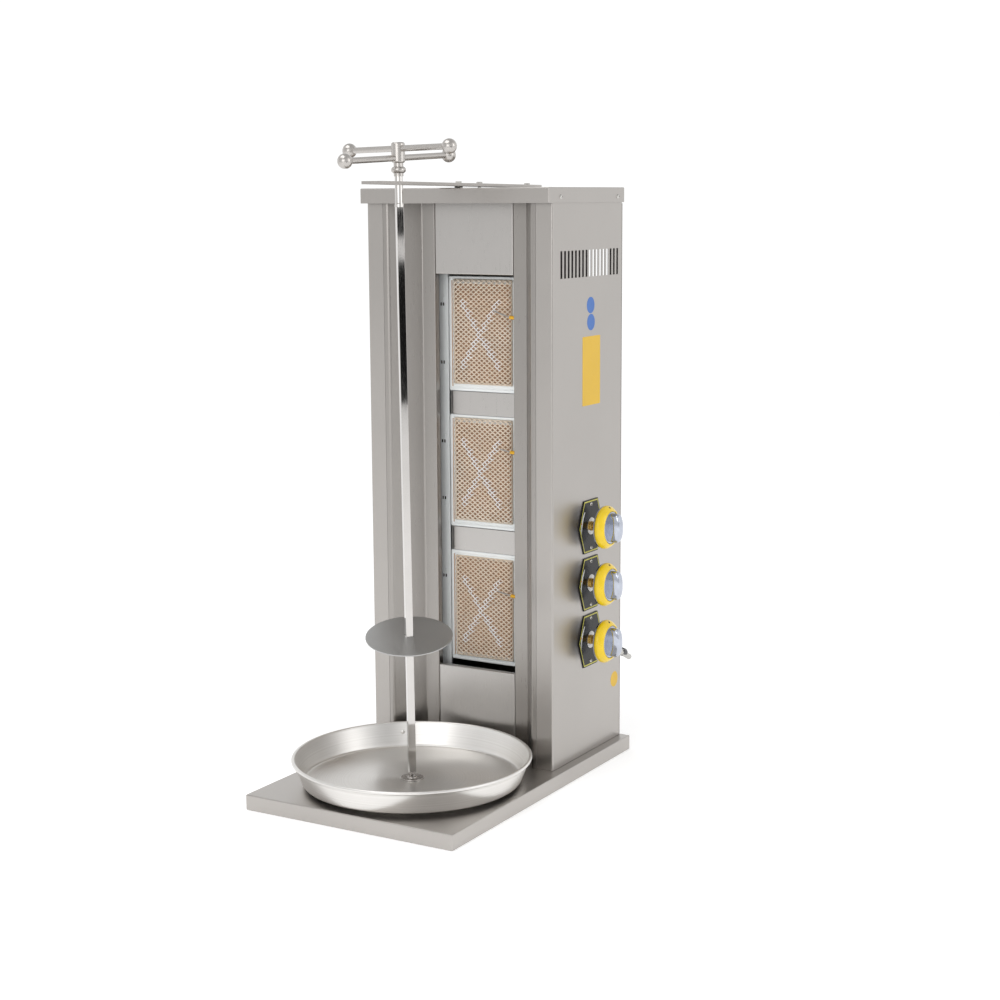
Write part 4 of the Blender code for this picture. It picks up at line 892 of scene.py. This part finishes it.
def build_slot_shadows():
    """Painted shade: black plates in each rail slot stand in for the dark room behind the rails."""
    slot = rounded_rectangle(*RAIL_SLOT, 0.0004, steps=2)
    for number in BURNERS:
        height = middle(f"burner_frame_{number}").z
        for side, name in ((-1, "left"), (1, "right")):
            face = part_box(f"burner_rail_{name}")[0].y
            bm = bmesh.new()
            for step in (-0.5, 0.5):
                for across in RAIL_SLOT_PAIR:
                    spot = (ORIGIN.x + side * across, face + 0.0006, height + step * EAR_SPACING)
                    slab(bm, slot, -0.0003, 0.0003, Matrix.Translation(spot) @ TO_FRONT)
            new_piece(f"rail_slot_shade_{name}_{number}", bm, PRINTS["black_mark_and_slot_shade"], "cabinet")


# ------------------------------------------------------ screws, labels, fittings
def side_frame(y, z, side=1, proud=0.0):
    """A place on a side panel's outer face; local Z points out of the machine."""
    low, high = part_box("side_panel_right" if side > 0 else "side_panel_left")
    x = high.x + proud if side > 0 else low.x - proud
    turn = Matrix.Rotation(side * math.pi / 2, 4, "Y")
    return Matrix.Translation((x, ORIGIN.y + y, z)) @ turn


def build_cap_screws():
    dome = [(0, 0.0013), (0.0010, 0.0012), (0.0012, 0.0023), (0.0022, 0.0021), (0.0033, 0.0014),
            (0.0040, 0.0003), (0.0040, 0), (0, 0)]
    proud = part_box("top_cap")[1].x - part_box("side_panel_right")[1].x
    for side, name in ((1, "right"), (-1, "left")):
        for y, label in CAP_SCREWS:
            turned(f"cap_screw_{name}_{label}", dome, FINISHES["bolt_steel"], "cabinet",
                   side_frame(y, CAP_SCREW_HEIGHT, side, proud), segments=36)


def build_stickers():
    """Plain stickers, with nothing written on them."""
    radius = STICKER_RADIUS
    profile = [(0, FILM), (radius - 0.0001, FILM), (radius, 0.00006), (radius, 0), (0, 0)]
    for name, (y, z, finish) in STICKERS.items():
        turned(name, profile, PRINTS[finish], "cabinet", side_frame(y, z))
    bm = bmesh.new()
    outline = rounded_rectangle(*LABEL_HALF, LABEL_CORNER)
    slab(bm, outline, 0, FILM, side_frame(*LABEL_PLACE))
    new_piece("label_yellow", bm, PRINTS["vinyl_yellow"], "cabinet")


def build_inlet_collar():
    """The dark collar on the end of the gas inlet."""
    points = [vertex.co for vertex in NODES["gas_inlet"].data.vertices]
    rearmost = sorted(points, key=lambda point: -point.y)[:12]
    end = sum(rearmost, Vector()) / len(rearmost)
    out, height = INLET_BEND
    bend = Vector((end.x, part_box("rear_panel")[1].y + out, height))
    length = (end - bend).length
    start, stop = [share * length for share in COLLAR_SPAN]
    ease = 0.03 * length
    collar = [(0.0058, start), (0.0072, start), (0.0076, start + ease),
              (0.0076, stop - ease), (0.0072, stop), (0.0058, stop)]
    turned("inlet_collar", collar, PRINTS["collar_grey"], "cabinet",
           aimed(bend, end - bend), segments=48, closed=True)


# ------------------------------------------------------------------------ studio
def stage_piece(name, bm, finish):
    """Turns a bmesh into a thing of the studio, which is no part of the machine."""
    bmesh.ops.recalc_face_normals(bm, faces=bm.faces)
    mesh = bpy.data.meshes.new(name)
    bm.to_mesh(mesh)
    bm.free()
    mesh.materials.append(finish)
    made = bpy.data.objects.new(name, mesh)
    SCENE.collection.objects.link(made)
    return made


def build_floor():
    pale = surface("pale_floor", (0.93, 0.93, 0.93), 0.7, spread=0.005, scale=3.0, cloud=0.5,
                   bump=0.0, Specular_IOR_Level=0.0, Emission_Color=(1, 1, 1, 1),
                   Emission_Strength=0.34)[0]
    bm = bmesh.new()
    slab(bm, arc((0, 0), FLOOR_RADIUS, 0, 357.5, 143), -0.02, 0.0, Matrix.Identity(4))
    stage_piece("floor", bm, pale)


def build_world():
    """White all round, dimmer overhead and on the side that the front faces."""
    world = bpy.data.worlds.new("studio")
    SCENE.world = world
    world.use_nodes = True
    tree = world.node_tree
    sky = tree.nodes["Background"]
    direction = add_node(tree, "ShaderNodeTexCoord").outputs["Generated"]
    parts = add_node(tree, "ShaderNodeSeparateXYZ", Vector=direction)
    around = ranged(tree, parts.outputs["Y"], 0.80, 1.06, -0.9, 0.1)
    above = ranged(tree, parts.outputs["Z"], 1.0, 0.62, 0.22, 0.85)
    level = add_node(tree, "ShaderNodeMath", {"operation": "MULTIPLY"}, i0=around,
                     i1=above).outputs["Value"]
    grey = add_node(tree, "ShaderNodeCombineColor", Red=level, Green=level, Blue=level)
    tree.links.new(grey.outputs["Color"], sky.inputs["Color"])


def add_area_lights():
    for name, (place, target, size, power) in LIGHTS.items():
        light = bpy.data.lights.new(name, "AREA")
        light.shape = "RECTANGLE"
        light.size, light.size_y = size
        light.energy = power
        lamp = bpy.data.objects.new(name, light)
        SCENE.collection.objects.link(lamp)
        lamp.location = at(*place)
        lamp.rotation_euler = (at(*target) - at(*place)).to_track_quat("-Z", "Y").to_euler()


def build_flags():
    """Black studio flags out to the right, which only the polished pieces mirror."""
    dark = surface("flag_black", (0.012, 0.012, 0.012), 0.9, spread=0.1,
                   Specular_IOR_Level=0.0)[0]
    spit = middle("spit_rod")
    heading = Vector((math.sin(FLAG_HEADING), -math.cos(FLAG_HEADING), 0))
    for name, (low, high) in FLAGS.items():
        centre = Vector((spit.x, spit.y, (low + high) / 2)) + heading * FLAG_DISTANCE
        outline = rounded_rectangle(FLAG_HALF_WIDTH, (high - low) / 2, 0.004)
        bm = bmesh.new()
        slab(bm, outline, -0.002, 0.002, aimed(centre, heading))
        flag = stage_piece(name, bm, dark)
        flag.visible_camera = False
        flag.visible_diffuse = False
        flag.visible_shadow = False


def aim_camera():
    around, down, roll = map(math.radians, CAMERA_TURN)
    forward = Vector((-math.sin(around) * math.cos(down), math.cos(around) * math.cos(down),
                      -math.sin(down)))
    level = Vector((math.cos(around), math.sin(around), 0))
    upright = level.cross(forward)
    right = level * math.cos(roll) + upright * math.sin(roll)
    up = upright * math.cos(roll) - level * math.sin(roll)
    camera = bpy.data.objects.new("camera", bpy.data.cameras.new("camera"))
    SCENE.collection.objects.link(camera)
    turn = Matrix((right, up, -forward)).transposed().to_4x4()
    camera.matrix_world = Matrix.Translation(at(*CAMERA_PLACE)) @ turn
    camera.data.lens = CAMERA_LENS
    camera.data.sensor_width = CAMERA_SENSOR
    SCENE.camera = camera


dress_cad_nodes()
build_pan()
build_socket()
spit_place = spit_frame()
build_spit_rod(spit_place)
build_hub(spit_place)
build_handles()
for control in CONTROLS:
    build_knob(control)
    build_plate_details(control)
for burner in BURNERS:
    build_guard(burner)
    build_burner_frame(burner)
build_cover_strip("cover_strip_upper")
build_cover_strip("cover_strip_lower")
build_rail_dimples()
build_slot_shadows()
build_cap_screws()
build_stickers()
build_inlet_collar()

build_floor()
build_world()
build_flags()
add_area_lights()
aim_camera()
SCENE.view_settings.view_transform = "Standard"
